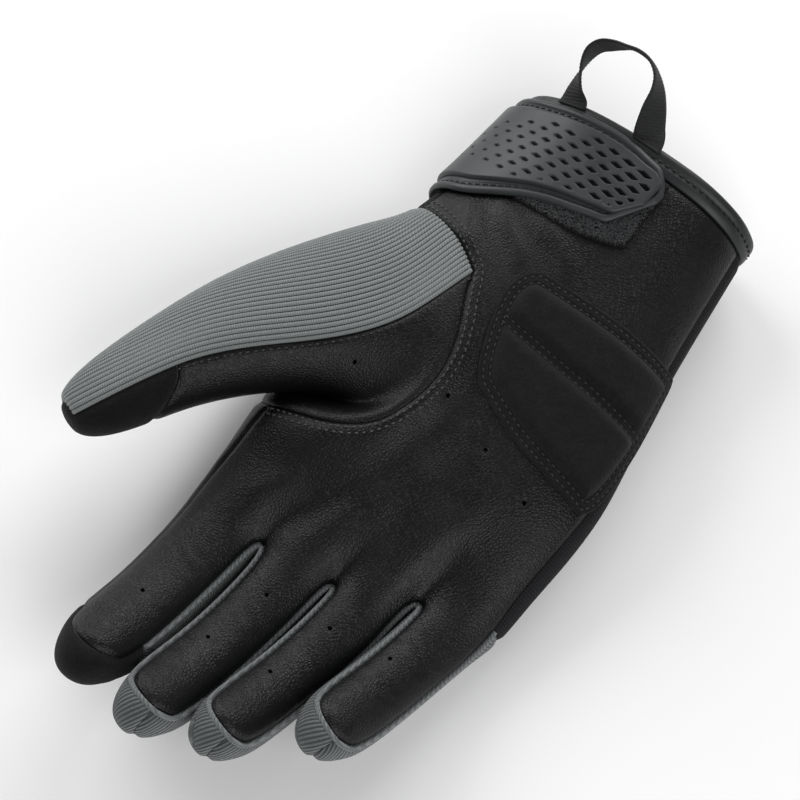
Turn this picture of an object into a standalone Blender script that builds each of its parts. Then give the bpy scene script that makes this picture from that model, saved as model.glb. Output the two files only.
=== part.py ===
"""Right-hand motorcycle glove, lying on its back with the palm up.

One coarse cage of the whole hand is smoothed by Subdivision Surface. Its faces are sorted into the
panels that the glove is sewn from, and each panel becomes a wall of its own thickness, a seam's gap
apart from its neighbours. Patches, the wrist strap and the hanging loop lie on that skin.

Metres. +X is the thumb's side, +Y points to the fingertips, +Z is up out of the palm. The origin is
on the floor under the middle of the palm.
"""

import math
from collections import namedtuple

import bmesh
import bpy
from mathutils import Vector
from mathutils.bvhtree import BVHTree

# Main sizes
BODY_LENGTH = 0.164  # cuff edge to the webs between the fingers
PALM_DEPTH = 0.037  # from the floor to the top of the palm
THUMB_LENGTH = 0.112  # from the middle of the root seam, along the thumb's own line
THUMB_WIDTH = 0.058
THUMB_DEPTH = 0.042
ORIGIN_SHARE = 0.640  # where the origin lies along the body

# Walls and clearances
LEATHER = 0.0014
TEXTILE = 0.0016
SUEDE = 0.0016
BINDING = 0.0016
BINDING_RAISE = 0.0005
SEAM_GAP = 0.0003

FLOOR_SINK = 0.0022  # how far the back would sag below the floor if the floor didn't flatten it
EDGE_SHARE = 0.95  # where the palm leather ends by the thumb, as a share of a section's half-width
ROUNDNESS = 2.3  # exponent of the body's oval sections

# Fingers, from the thumb's side. web is how far past the body's length the finger starts. width and depth
# are at the root and waist is the share of that width further on; splay turns towards the thumb; roll
# turns the outer side up; lift is the root's slope and bend what the knuckles add to it.
Finger = namedtuple("Finger", "name web length width waist depth splay roll lift bend")
FINGERS = [
    Finger("index", 0.002, 0.0690, 0.0280, 0.86, 0.0235, 1.8, 2, 4, 34),
    Finger("middle", 0.004, 0.0720, 0.0245, 0.86, 0.0230, 4.4, 8, 4, 36),
    Finger("ring", -0.002, 0.0715, 0.0232, 0.87, 0.0220, 6.8, 12, 4, 36),
    Finger("little", -0.014, 0.0630, 0.0268, 0.80, 0.0215, 8.8, 16, 4, 34),
]
KNUCKLE_SHIFT = -0.00225

# A row for each section of the body. along is a share of BODY_LENGTH from the cuff, width and shift are
# shares of the knuckles' width, depth and hollow are shares of PALM_DEPTH, scallop says how far the
# section has turned into the four fingers' own outlines, and seam and edge are where the index finger's
# last column and the palm leather's outer edge stand, as shares of the half-width.
Section = namedtuple("Section", "along width shift depth hollow scallop seam edge")
BODY = [
    Section(0.000, 0.837, -0.028, 1.24, 0.00, 0.00, 0.42, 0.990),
    Section(0.018, 0.842, -0.029, 1.23, 0.00, 0.00, 0.42, 0.990),
    Section(0.200, 0.899, -0.023, 1.19, 0.00, 0.00, 0.38, 0.990),
    Section(0.370, 0.958, -0.017, 1.13, 0.00, 0.00, 0.32, 0.990),
    Section(0.460, 0.999, -0.023, 1.08, 0.03, 0.00, 0.20, 0.990),
    Section(0.550, 1.029, -0.029, 1.02, 0.06, 0.00, 0.12, 0.985),
    Section(0.640, 1.060, -0.036, 0.98, 0.08, 0.00, 0.12, 0.960),
    Section(0.760, 1.060, -0.036, 0.93, 0.07, 0.03, 0.22, 0.930),
    Section(0.880, 1.029, -0.029, 0.82, 0.03, 0.25, 0.36, 0.930),
]
BOW_POWER = 3  # how quickly the sections' slant grows towards the fingers

# A row for each section of a finger: shares of its length, its waist, its depth and its bend.
Joint = namedtuple("Joint", "along width depth bend")
FINGER = [
    Joint(0.12, 1.04, 0.98, 0.05),
    Joint(0.36, 1.00, 0.95, 0.32),
    Joint(0.60, 0.99, 0.93, 0.66),
    Joint(0.82, 1.00, 0.88, 0.96),
    Joint(0.95, 0.90, 0.70, 1.05),
]
PALMAR_SPOTS = [(0.470, 0.26), (0.235, 0.485), (-0.235, 0.485), (-0.470, 0.26)]
TIP_ROUND = 0.32  # how far a fingertip's middle stands past its sides, as a share of its width
TIP_WALL = 0.42

# The seam round the thumb's root, as shares of the knuckles' width, of BODY_LENGTH from the cuff and of
# PALM_DEPTH. The first spot is its inner corner by the wrist, and the others go round by the thumb-side
# wall, the back and the web to the palm again.
THUMB_ROWS = (3, 7)
Spot = namedtuple("Spot", "x y z")
THUMB_SEAM = [
    Spot(0.152, 0.418, 1.041),
    Spot(0.239, 0.372, 1.027),
    Spot(0.337, 0.348, 0.986),
    Spot(0.429, 0.335, 0.838),
    Spot(0.478, 0.335, 0.541),
    Spot(0.449, 0.372, 0.189),
    Spot(0.463, 0.463, 0.095),
    Spot(0.478, 0.567, 0.081),
    Spot(0.488, 0.671, 0.095),
    Spot(0.488, 0.762, 0.162),
    Spot(0.512, 0.808, 0.459),
    Spot(0.439, 0.808, 0.784),
    Spot(0.312, 0.793, 0.932),
    Spot(0.195, 0.765, 0.986),
    Spot(0.093, 0.710, 1.027),
    Spot(0.039, 0.634, 1.054),
    Spot(0.037, 0.555, 1.068),
    Spot(0.078, 0.479, 1.068),
]

# A row for each section of the thumb: its middle as shares of THUMB_LENGTH from the middle of the seam,
# shares of THUMB_WIDTH and THUMB_DEPTH, how far it leans on the seam's shape, the turn of its first point
# in degrees, and how much of the tip seam's slant it has.
ThumbSection = namedtuple("ThumbSection", "x y z width depth lean turn slant")
THUMB = [
    ThumbSection(0.107, 0.005, -0.009, 1.000, 1.000, 0.50, 112, 0.0),
    ThumbSection(0.210, 0.126, 0.013, 0.810, 0.857, 0.12, 118, 0.0),
    ThumbSection(0.286, 0.255, 0.035, 0.655, 0.738, 0.00, 122, 0.1),
    ThumbSection(0.357, 0.394, 0.060, 0.526, 0.636, 0.00, 122, 0.6),
    ThumbSection(0.399, 0.501, 0.075, 0.466, 0.571, 0.00, 118, 1.0),
    ThumbSection(0.435, 0.604, 0.089, 0.410, 0.512, 0.00, 114, 0.4),
    ThumbSection(0.463, 0.685, 0.098, 0.328, 0.429, 0.00, 112, 0.0),
    ThumbSection(0.480, 0.728, 0.102, 0.207, 0.274, 0.00, 112, 0.0),
]
THUMB_TIP_ROW = 5  # the suede tip starts at this section
# The tip's seam swings back at one turn round the thumb and forward at another, over a spread of degrees,
# by shares of THUMB_LENGTH.
Swing = namedtuple("Swing", "turn spread reach")
TIP_SEAM = [Swing(118, 40, -0.080), Swing(-150, 50, 0.062)]
THUMB_TIP = 0.011  # how far the thumb's end stands past its last section, as a share of THUMB_LENGTH

# Patches and the strap are laid round this axis, by a turn in degrees from the thumb's side, with the
# palm at 90, and a share of the piece's length from its own start. A row runs across a piece from one
# edge to the other, and an ease over 1 crowds its columns towards the second edge.
AXIS_X, AXIS_Z = -0.0026, 0.32 * PALM_DEPTH
Row = namedtuple("Row", "turn y end_turn end_y")
# start is the distance from the cuff's edge; low and high are how far the faces stand off the skin.
Layer = namedtuple("Layer", "start length low high columns ease", defaults=[1])

PATCH_START, PATCH_LENGTH, PATCH_WALL = 0.0084, 0.0310, 0.0007
LOOP_PATCH = Layer(PATCH_START, PATCH_LENGTH, SEAM_GAP, SEAM_GAP + PATCH_WALL, 5)
LOOP = [
    Row(46, 0.000, 52, 0.981),
    Row(58, 0.000, 62, 0.987),
    Row(70, 0.000, 74, 0.994),
    Row(82, 0.000, 86, 0.984),
    Row(94, 0.000, 98, 0.948),
    Row(106, 0.000, 108, 0.897),
    Row(116, 0.000, 117, 0.819),
]

STRAP_START, STRAP_LENGTH, STRAP_WALL = 0.0030, 0.0420, 0.0012
STRAP_LOW = max(LOOP_PATCH.high, BINDING_RAISE + SEAM_GAP) + SEAM_GAP
STRAP_BASE = Layer(STRAP_START, STRAP_LENGTH, STRAP_LOW, STRAP_LOW + STRAP_WALL, 5)
STRAP = [
    Row(0, -0.012, 0, 0.995),
    Row(8, -0.012, 8, 1.000),
    Row(16, -0.005, 16, 1.000),
    Row(24, 0.005, 24, 1.000),
    Row(32, 0.012, 33, 0.986),
    Row(42, 0.012, 44, 0.905),
    Row(52, 0.005, 56, 0.821),
    Row(64, 0.000, 68, 0.767),
    Row(78, 0.000, 80, 0.731),
    Row(90, 0.019, 92, 0.695),
    Row(100, 0.048, 101, 0.662),
    Row(108, 0.076, 106, 0.571),
    Row(113.5, 0.155, 112, 0.433),
    Row(117, 0.250, 116.5, 0.321),
]
PLATE_WALL = 0.0012
PLATE_LOW = STRAP_BASE.high + SEAM_GAP
STRAP_PLATE = Layer(STRAP_START, STRAP_LENGTH, PLATE_LOW, PLATE_LOW + PLATE_WALL, 5)
PLATE_INSET = 0.16  # how far the raised plate stands inside the strap, as a share of its width
PLATE_FIRST, PLATE_LAST = 0, 12  # the strap's rows between which the plate lies

HEEL_START, HEEL_LENGTH, HEEL_WALL = 0.0537, 0.0545, 0.0010
HEEL_LOW = SEAM_GAP * 5 / 3
HEEL_PATCH = Layer(HEEL_START, HEEL_LENGTH, HEEL_LOW, HEEL_LOW + HEEL_WALL, 12, 1.6)
HEEL_PAD = 0.0022  # how much higher the two pads stand than the patch's edge
HEEL = [
    Row(89, 0.018, 167, 0.000),
    Row(81, 0.084, 169, 0.070),
    Row(77, 0.207, 170, 0.235),
    Row(78.5, 0.345, 170, 0.446),
    Row(83, 0.501, 169.5, 0.629),
    Row(89.5, 0.633, 168.5, 0.804),
    Row(98, 0.725, 167, 0.923),
    Row(110, 0.772, 165, 0.996),
]
HEEL_SEAM_ROW = 3  # the stitched line between the two pads

# The hanging loop: the turns at which its feet are sewn on, how far they reach from the cuff's edge, and
# its middle line in shares of its span and height. turn says how far the webbing stands on edge.
WEBBING_WIDTH, WEBBING_WALL = 0.0100, 0.0011
WEBBING_FEET = (49, 93)
FOOT_REACH = 0.0022
HANG_HEIGHT = 0.0265
HANG_LEAN = (0.45, -0.73, 0.53)
Bend = namedtuple("Bend", "across rise turn")
HANG_LOOP = [
    Bend(0.485, 0.17, 42),
    Bend(0.432, 0.38, 68),
    Bend(0.358, 0.57, 88),
    Bend(0.260, 0.72, 102),
    Bend(0.130, 0.82, 110),
    Bend(-0.030, 0.89, 106),
    Bend(-0.180, 0.93, 98),
    Bend(-0.340, 0.935, 103),
    Bend(-0.465, 0.89, 106),
    Bend(-0.545, 0.78, 102),
    Bend(-0.570, 0.62, 87),
    Bend(-0.545, 0.41, 65),
    Bend(-0.510, 0.15, 42),
]

COLUMNS = 3  # faces across each finger
PALMAR_POINTS = COLUMNS * len(FINGERS) + 1

# Colours and finishes, as (red, green, blue), roughness
BLACK_LEATHER = ((0.022, 0.023, 0.024), 0.45)
BLACK_TEXTILE = ((0.020, 0.021, 0.024), 0.85)
GREY_TEXTILE = ((0.17, 0.18, 0.185), 0.90)
BLACK_SUEDE = ((0.014, 0.014, 0.014), 0.95)
RUBBER = ((0.035, 0.040, 0.041), 0.50)

Panel = namedtuple("Panel", "name wall finish rise", defaults=[0])
PANELS = [
    Panel("palm_leather", LEATHER, BLACK_LEATHER),
    Panel("back_panel", LEATHER, BLACK_TEXTILE),
    Panel("side_gusset", TEXTILE, BLACK_TEXTILE),
    Panel("index_side", LEATHER, BLACK_LEATHER),
    Panel("fourchette_index_middle", TEXTILE, GREY_TEXTILE),
    Panel("fourchette_middle_ring", TEXTILE, GREY_TEXTILE),
    Panel("fourchette_ring_little", TEXTILE, GREY_TEXTILE),
    Panel("fourchette_little_side", TEXTILE, GREY_TEXTILE),
    Panel("index_tip", SUEDE, BLACK_SUEDE),
    Panel("thumb_back", TEXTILE, GREY_TEXTILE),
    Panel("thumb_front", LEATHER, BLACK_LEATHER),
    Panel("thumb_tip", SUEDE, BLACK_SUEDE),
    Panel("cuff_binding", BINDING, RUBBER, BINDING_RAISE),
]
NUMBER = {panel.name: i for i, panel in enumerate(PANELS)}


def swell(points):
    """How much larger a ring of this many points is made, because smoothing draws it in."""
    return 3 / (2 + math.cos(2 * math.pi / points))


def knuckle_width():
    return sum(finger.width for finger in FINGERS)


def along_body(share):
    """The place along Y that lies this share of the body's length from the cuff."""
    return (share - ORIGIN_SHARE) * BODY_LENGTH


def finger_frame(finger, bend):
    """Side, palmar and forward directions of a finger's section after a share of its bend."""
    heading = math.radians(finger.splay)
    lift = math.radians(finger.lift + finger.bend * bend)
    roll = math.radians(finger.roll)
    side = Vector((math.cos(heading), -math.sin(heading), 0))
    forward = Vector((
        math.sin(heading) * math.cos(lift),
        math.cos(heading) * math.cos(lift),
        math.sin(lift),
    ))
    palmar = side.cross(forward)
    return (
        side * math.cos(roll) + palmar * math.sin(roll),
        palmar * math.cos(roll) - side * math.sin(roll),
        forward,
    )


def finger_roots():
    """The middle of each finger's root, side by side across the knuckles."""
    edge = knuckle_width() / 2 + KNUCKLE_SHIFT
    roots = []
    for finger in FINGERS:
        middle = edge - finger.width / 2
        edge -= finger.width
        height = finger.depth / 2 - FLOOR_SINK / 2
        roots.append(Vector((middle, along_body(1) + finger.web, height)))
    return roots


def column_spots():
    """Where each palmar column crosses the knuckles, as x and y, and its height as a share of depth."""
    spots = []
    for finger, root in zip(FINGERS, finger_roots()):
        for i, (across, height) in enumerate(PALMAR_SPOTS):
            shared = i == 0 and finger is not FINGERS[0]
            if shared:
                continue
            last = i == COLUMNS and finger is not FINGERS[-1]
            x = root.x + across * finger.width
            y = root.y
            if last:
                after = FINGERS[FINGERS.index(finger) + 1]
                x = root.x - finger.width / 2
                y = along_body(1) + (finger.web + after.web) / 2
            spots.append((x, y, height * finger.depth, root.z))
    return spots


def body_ring(section, spots):
    """Points of one body section: palmar from the thumb's side, outer wall, dorsal back, thumb-side wall."""
    half, shift = section.width * knuckle_width() / 2, section.shift * knuckle_width()
    depth = section.depth * PALM_DEPTH
    centre = depth / 2 - FLOOR_SINK / 2
    row_y = along_body(section.along)
    mean_y = sum(spot[1] for spot in spots) / len(spots)
    bow = section.along**BOW_POWER
    grow = swell(2 * PALMAR_POINTS + 2)
    top, bottom = [], []
    seam_x = spots[COLUMNS][0]
    for x, y, rise, root_z in spots:
        if x > seam_x:
            share = section.seam + (EDGE_SHARE - section.seam) * (x - seam_x) / (spots[0][0] - seam_x)
        else:
            share = section.seam - (section.edge + section.seam) * (seam_x - x) / (seam_x - spots[-1][0])
        oval = depth / 2 * (1 - abs(share) ** ROUNDNESS) ** (1 / ROUNDNESS)
        hollow = section.hollow * PALM_DEPTH * (1 - min(1, abs(share) / 0.75) ** 2)
        lift = oval * (1 - section.scallop) + rise * section.scallop
        middle = centre * (1 - section.scallop) + root_z * section.scallop
        at = (half * share + shift, row_y + bow * (y - mean_y))
        top.append(Vector((*at, middle + grow * (lift - hollow))))
        bottom.append(Vector((*at, middle - grow * lift)))
    side_z = centre * (1 - section.scallop) + spots[0][3] * section.scallop
    inner = Vector((half * grow + shift, top[0].y, side_z))
    outer = Vector((-half * grow + shift, top[-1].y, side_z))
    return top, outer, bottom, inner


def web_ring(spots):
    """The section at the webs, where the body's outline has become the four fingers'."""
    grow = swell(2 * len(PALMAR_SPOTS) + 2)
    top = [Vector((x, y, z + grow * rise)) for x, y, rise, z in spots]
    bottom = [Vector((x, y, z - grow * rise)) for x, y, rise, z in spots]
    first, last = finger_roots()[0], finger_roots()[-1]
    inner = first + Vector((FINGERS[0].width / 2 * grow, 0, 0))
    outer = last - Vector((FINGERS[-1].width / 2 * grow, 0, 0))
    return top, outer, bottom, inner


def finger_ring(finger, middle, joint):
    """The ten points of a finger's section: four palmar, outer wall, four dorsal, thumb-side wall."""
    side, palmar, _ = finger_frame(finger, joint.bend)
    grow = swell(2 * len(PALMAR_SPOTS) + 2)
    width = finger.width * finger.waist * joint.width * grow
    depth = finger.depth * joint.depth * grow
    top = [middle + side * a * width + palmar * h * depth for a, h in PALMAR_SPOTS]
    bottom = [middle + side * a * width - palmar * h * depth for a, h in PALMAR_SPOTS]
    return top, middle - side * width / 2, bottom, middle + side * width / 2


class Cage:
    """The coarse mesh of the whole glove. Each face carries its panel's number."""

    def __init__(self):
        self.mesh = bmesh.new()

    def points(self, places):
        return [self.mesh.verts.new(place) for place in places]

    def face(self, corners, panel):
        face = self.mesh.faces.new(corners)
        face.material_index = NUMBER[panel]

    def strip(self, first, second, panels):
        """Faces between two open rows of points."""
        for i, panel in enumerate(panels):
            self.face((first[i], first[i + 1], second[i + 1], second[i]), panel)


def loop_of(ring):
    """A ring's points in order round it, starting at the thumb-side wall."""
    top, outer, bottom, inner = ring
    return [inner, *top, outer, *reversed(bottom), inner]


def build_body(cage):
    """The body from the cuff to the webs, with the thumb's hole left open. Gives back its rings."""
    spots = column_spots()
    rings = []
    for section in BODY:
        top, outer, bottom, inner = body_ring(section, spots)
        rings.append((cage.points(top), cage.points([outer])[0], cage.points(bottom), cage.points([inner])[0]))
    top, outer, bottom, inner = web_ring(spots)
    rings.append((cage.points(top), cage.points([outer])[0], cage.points(bottom), cage.points([inner])[0]))
    palmar = PALMAR_POINTS - 1
    for row in range(len(rings) - 1):
        cuff = row == 0
        panels = ["index_side" if row >= THUMB_ROWS[1] else "back_panel"]
        panels += ["palm_leather"] * palmar + ["side_gusset"] * 2 + ["back_panel"] * palmar
        panels += ["index_side" if row >= THUMB_ROWS[1] else "back_panel"]
        if cuff:
            panels = ["cuff_binding"] * len(panels)
        first, second = loop_of(rings[row]), loop_of(rings[row + 1])
        hole = THUMB_ROWS[0] <= row < THUMB_ROWS[1]
        for i, panel in enumerate(panels):
            if hole and (i <= COLUMNS or i == len(panels) - 1):
                continue
            cage.face((first[i], first[i + 1], second[i + 1], second[i]), panel)
    return rings


def finger_panels(index):
    """Which panel each side wall of a finger belongs to: the thumb's side, then the outer side."""
    names = ["index_side", "fourchette_index_middle", "fourchette_middle_ring",
             "fourchette_ring_little", "fourchette_little_side"]
    return names[index], names[index + 1]


def build_finger(cage, index, web):
    """One finger from its root ring, which shares its web points with its neighbours."""
    finger = FINGERS[index]
    inner_panel, outer_panel = finger_panels(index)
    ring = web
    middle = finger_roots()[index]
    start, bend = 0.0, 0.0
    for row, joint in enumerate(FINGER):
        _, _, forward = finger_frame(finger, (bend + joint.bend) / 2)
        middle = middle + forward * (joint.along - start) * finger.length
        start, bend = joint.along, joint.bend
        top, outer, bottom, inner = finger_ring(finger, middle, joint)
        if row == len(FINGER) - 1:
            bulge = finger_frame(finger, joint.bend)[2] * TIP_ROUND * finger.width
            for side in (top, bottom):
                side[1] = side[1] + bulge
                side[2] = side[2] + bulge
        after = (cage.points(top), cage.points([outer])[0], cage.points(bottom), cage.points([inner])[0])
        tip = index == 0 and row == len(FINGER) - 1
        walls = ("index_tip", "index_tip") if tip else (inner_panel, outer_panel)
        panels = [walls[0]] + ["palm_leather"] * COLUMNS + [walls[1]] * 2
        panels += ["back_panel"] * COLUMNS + [walls[0]]
        cage.strip(loop_of(ring), loop_of(after), panels)
        ring = after
    forward = finger_frame(finger, FINGER[-1].bend)[2]
    top, outer, bottom, inner = ring
    out = forward * TIP_WALL * finger.width
    ends = cage.points([(top[i].co + bottom[i].co) / 2 + out * 0.35 for i in (1, 2)])
    row_of_ends = [inner, *ends, outer]
    tip_panels = [inner_panel, inner_panel, outer_panel]
    if index == 0:
        tip_panels = ["index_tip"] * COLUMNS
    cage.strip(top, row_of_ends, tip_panels)
    cage.strip(row_of_ends, bottom, tip_panels)


def build_fingers(cage, rings):
    top, outer, bottom, inner = rings[-1]
    wall = inner
    for index in range(len(FINGERS)):
        first = COLUMNS * index
        mine_top = top[first : first + COLUMNS + 1]
        mine_bottom = bottom[first : first + COLUMNS + 1]
        if index == len(FINGERS) - 1:
            after = outer
        else:
            after = cage.points([(mine_top[-1].co + mine_bottom[-1].co) / 2])[0]
        build_finger(cage, index, (mine_top, after, mine_bottom, wall))
        wall = after


def thumb_root(rings):
    """The body's points round the thumb's hole, moved to the root seam's spots."""
    low, high = THUMB_ROWS
    loops = [loop_of(ring) for ring in rings]
    across = list(range(COLUMNS + 1, -1, -1)) + [-2]
    start = [loops[low][i] for i in across]
    back = [loops[row][-2] for row in range(low + 1, high)]
    end = [loops[high][i] for i in reversed(across)]
    edge = [loops[row][COLUMNS + 1] for row in range(high - 1, low, -1)]
    root = start + back + end + edge
    for point, spot in zip(root, THUMB_SEAM):
        point.co = Vector((spot.x * knuckle_width(), along_body(spot.y), spot.z * PALM_DEPTH))
    return root


def tip_swing(turn):
    """How far the seam of the thumb's suede tip stands forward at this turn round the thumb."""
    reach = 0
    for swing in TIP_SEAM:
        away = (turn - swing.turn + 180) % 360 - 180
        reach += swing.reach * THUMB_LENGTH * math.exp(-((away / swing.spread) ** 2))
    return reach


def build_thumb(cage, rings):
    root = thumb_root(rings)
    count = len(root)
    grow = swell(count)
    start = sum((point.co for point in root), Vector()) / count
    middles = [start + Vector((row.x, row.y, row.z)) * THUMB_LENGTH for row in THUMB]
    ring = root
    for row, section in enumerate(THUMB):
        before, after = middles[max(0, row - 1)], middles[min(len(THUMB) - 1, row + 1)]
        forward = (after - before).normalized()
        side = forward.cross(Vector((0, 0, 1))).normalized()
        deep = side.cross(forward)
        places = []
        for i, point in enumerate(root):
            turn = math.radians(section.turn) - 2 * math.pi * i / count
            spot = (
                middles[row]
                + side * math.cos(turn) * section.width * THUMB_WIDTH / 2 * grow
                + deep * math.sin(turn) * section.depth * THUMB_DEPTH / 2 * grow
                + forward * tip_swing(math.degrees(turn)) * section.slant
            )
            places.append(spot.lerp(point.co, section.lean))
        made = cage.points(places)
        for i in range(count):
            j = (i + 1) % count
            front = "thumb_front" if row < THUMB_TIP_ROW else "thumb_tip"
            panel = "thumb_back" if i < count // 2 else front
            cage.face((ring[i], ring[j], made[j], made[i]), panel)
        ring = made
    out = (middles[-1] - middles[-2]).normalized() * THUMB_TIP * THUMB_LENGTH
    tip = cage.points([middles[-1] + out])[0]
    for i in range(count):
        cage.face((ring[i], ring[(i + 1) % count], tip), "thumb_tip")


def build_cage():
    cage = Cage()
    rings = build_body(cage)
    build_fingers(cage, rings)
    build_thumb(cage, rings)
    return cage.mesh


class Skin:
    """The smoothed surface of the glove, flat where it lies on the floor."""

    def __init__(self, cage):
        graph = bpy.context.evaluated_depsgraph_get()
        self.mesh = bmesh.new()
        self.mesh.from_mesh(cage.evaluated_get(graph).to_mesh())
        for vert in self.mesh.verts:
            vert.co.z = max(0, vert.co.z)
        self.mesh.normal_update()
        self.mesh.verts.index_update()
        self.tree = BVHTree.FromBMesh(self.mesh)

    def over(self, turn, y, height):
        """The point that stands this high off the skin at a turn round the axis and a distance along."""
        angle = math.radians(turn)
        ray = Vector((math.cos(angle), 0, math.sin(angle)))
        place, normal, _, _ = self.tree.ray_cast(Vector((AXIS_X, y, AXIS_Z)), ray)
        if normal.dot(ray) < 0:
            normal = -normal
        return place + normal * height

    def panel_faces(self, number):
        return [face for face in self.mesh.faces if face.material_index == number]


def seam_pull(vert, faces):
    """The step that takes a panel's border point back from its seams by half their gap."""
    inward = []
    for edge in vert.link_edges:
        mine = [face for face in edge.link_faces if face in faces]
        if len(mine) == 1 and len(edge.link_faces) == 2:
            along = (edge.verts[1].co - edge.verts[0].co).normalized()
            towards = mine[0].calc_center_median() - edge.verts[0].co
            towards -= along * towards.dot(along)
            inward.append(towards.normalized())
    if not inward:
        return Vector()
    middle = sum(inward, Vector())
    middle.normalize()
    return middle * SEAM_GAP / 2 / max(0.4, min(middle.dot(step) for step in inward))


def panel_mesh(skin, number):
    """A closed wall under one panel's outer face, set back from its seams."""
    panel = PANELS[number]
    faces = set(skin.panel_faces(number))
    verts = list(dict.fromkeys(vert for face in skin.panel_faces(number) for vert in face.verts))
    mesh = bmesh.new()
    outer, inner = {}, {}
    for vert in verts:
        place = vert.co + seam_pull(vert, faces)
        outer[vert] = mesh.verts.new(place + vert.normal * panel.rise)
        inner[vert] = mesh.verts.new(place - vert.normal * panel.wall)
    for face in skin.panel_faces(number):
        mesh.faces.new([outer[vert] for vert in face.verts])
        mesh.faces.new([inner[vert] for vert in reversed(face.verts)])
        for loop in face.loops:
            if sum(other in faces for other in loop.edge.link_faces) == 1:
                a, b = loop.vert, loop.link_loop_next.vert
                if a.index < b.index:
                    mesh.faces.new((outer[b], outer[a], inner[b]))
                    mesh.faces.new((outer[a], inner[a], inner[b]))
                else:
                    mesh.faces.new((outer[b], outer[a], inner[a]))
                    mesh.faces.new((outer[b], inner[a], inner[b]))
    return mesh


def layer_mesh(skin, rows, layer, height=None):
    """A closed sheet laid over the skin, with its upper face raised by a height for a row and a column."""
    mesh = bmesh.new()
    low, high = [], []
    for i, row in enumerate(rows):
        for grid, level in ((low, layer.low), (high, layer.high)):
            line = []
            for j in range(layer.columns + 1):
                share = 1 - (1 - j / layer.columns) ** layer.ease
                turn = row.turn + (row.end_turn - row.turn) * share
                y = along_body(0) + layer.start + (row.y + (row.end_y - row.y) * share) * layer.length
                rise = height(i, j) if height and grid is high else 0
                line.append(mesh.verts.new(skin.over(turn, y, level + rise)))
            grid.append(line)
    last_row, last_column = len(rows) - 1, layer.columns
    for i in range(last_row):
        for j in range(last_column):
            for grid in (high, low):
                corners = (grid[i][j], grid[i + 1][j], grid[i + 1][j + 1], grid[i][j + 1])
                mesh.faces.new(corners if grid is high else corners[::-1])
    border = [(i, 0) for i in range(last_row)]
    border += [(last_row, j) for j in range(last_column)]
    border += [(i, last_column) for i in range(last_row, 0, -1)]
    border += [(0, j) for j in range(last_column, 0, -1)]
    for (i, j), (k, m) in zip(border, border[1:] + border[:1]):
        mesh.faces.new((high[i][j], low[i][j], low[k][m], high[k][m]))
    return mesh


def plate_rows():
    """The raised plate's rows, inside the strap's."""
    rows = []
    for row in STRAP[PLATE_FIRST : PLATE_LAST + 1]:
        turn = row.turn + (row.end_turn - row.turn) * PLATE_INSET
        end_turn = row.end_turn - (row.end_turn - row.turn) * PLATE_INSET
        step = (row.end_y - row.y) * PLATE_INSET
        rows.append(Row(turn, row.y + step, end_turn, row.end_y - step))
    return rows


def heel_height(row, column):
    """How high the heel patch's pads stand: nothing at its edge and at the line between them."""
    last = len(HEEL) - 1
    if row in (0, HEEL_SEAM_ROW, last) or column in (0, HEEL_PATCH.columns):
        return 0
    return HEEL_PAD


def foot_sections(skin, turn):
    """Where one foot of the hanging loop lies on the binding: (place, across) from its end to the edge."""
    off = BINDING_RAISE + SEAM_GAP + WEBBING_WALL / 2
    sections = []
    for reach in (FOOT_REACH, FOOT_REACH / 8):
        y = along_body(0) + reach
        across = skin.over(turn - 4, y, off) - skin.over(turn + 4, y, off)
        sections.append((skin.over(turn, y, off), across.normalized()))
    return sections


def hang_loop_mesh(skin):
    """Flat webbing bent into a loop, turned on edge at its top."""
    near, far = (foot_sections(skin, turn) for turn in WEBBING_FEET)
    span = near[-1][0] - far[-1][0]
    middle = (near[-1][0] + far[-1][0]) / 2
    lean = Vector(HANG_LEAN).normalized()
    plane = lean.cross(span).normalized()
    places = [middle + span * bend.across + lean * bend.rise * HANG_HEIGHT for bend in HANG_LOOP]
    path = [place for place, _ in near] + places + [place for place, _ in reversed(far)]
    sections = list(near)
    for i, bend in enumerate(HANG_LOOP):
        along = (path[i + 3] - path[i + 1]).normalized()
        across = along.cross(plane).normalized()
        turn = math.radians(bend.turn)
        sections.append((places[i], across * math.cos(turn) + plane * math.sin(turn)))
    sections += [(place, -across) for place, across in reversed(far)]
    mesh = bmesh.new()
    rings = []
    for i, (place, wide) in enumerate(sections):
        along = (path[min(i + 1, len(path) - 1)] - path[max(i - 1, 0)]).normalized()
        if rings and wide.dot(sections[i - 1][1]) < 0:
            wide = -wide
        sections[i] = (place, wide)
        thin = along.cross(wide).normalized() * WEBBING_WALL / 2
        wide = wide * WEBBING_WIDTH / 2
        corners = (wide + thin, thin - wide, -wide - thin, wide - thin)
        rings.append([mesh.verts.new(place + corner) for corner in corners])
    for before, after in zip(rings, rings[1:]):
        for k in range(4):
            mesh.faces.new((before[k], before[(k + 1) % 4], after[(k + 1) % 4], after[k]))
    mesh.faces.new(rings[0][::-1])
    mesh.faces.new(rings[-1])
    return mesh


def material(name, finish):
    colour, roughness = finish
    made = bpy.data.materials.new(name)
    made.use_nodes = True
    shader = made.node_tree.nodes["Principled BSDF"]
    shader.inputs["Base Color"].default_value = (*colour, 1)
    shader.inputs["Roughness"].default_value = roughness
    return made


def collection(name):
    made = bpy.data.collections.new(name)
    bpy.context.scene.collection.children.link(made)
    return made


def add_node(name, mesh, finish, home):
    bmesh.ops.recalc_face_normals(mesh, faces=mesh.faces)
    data = bpy.data.meshes.new(name)
    mesh.to_mesh(data)
    mesh.free()
    data.materials.append(material(name, finish))
    home.objects.link(bpy.data.objects.new(name, data))


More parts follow.
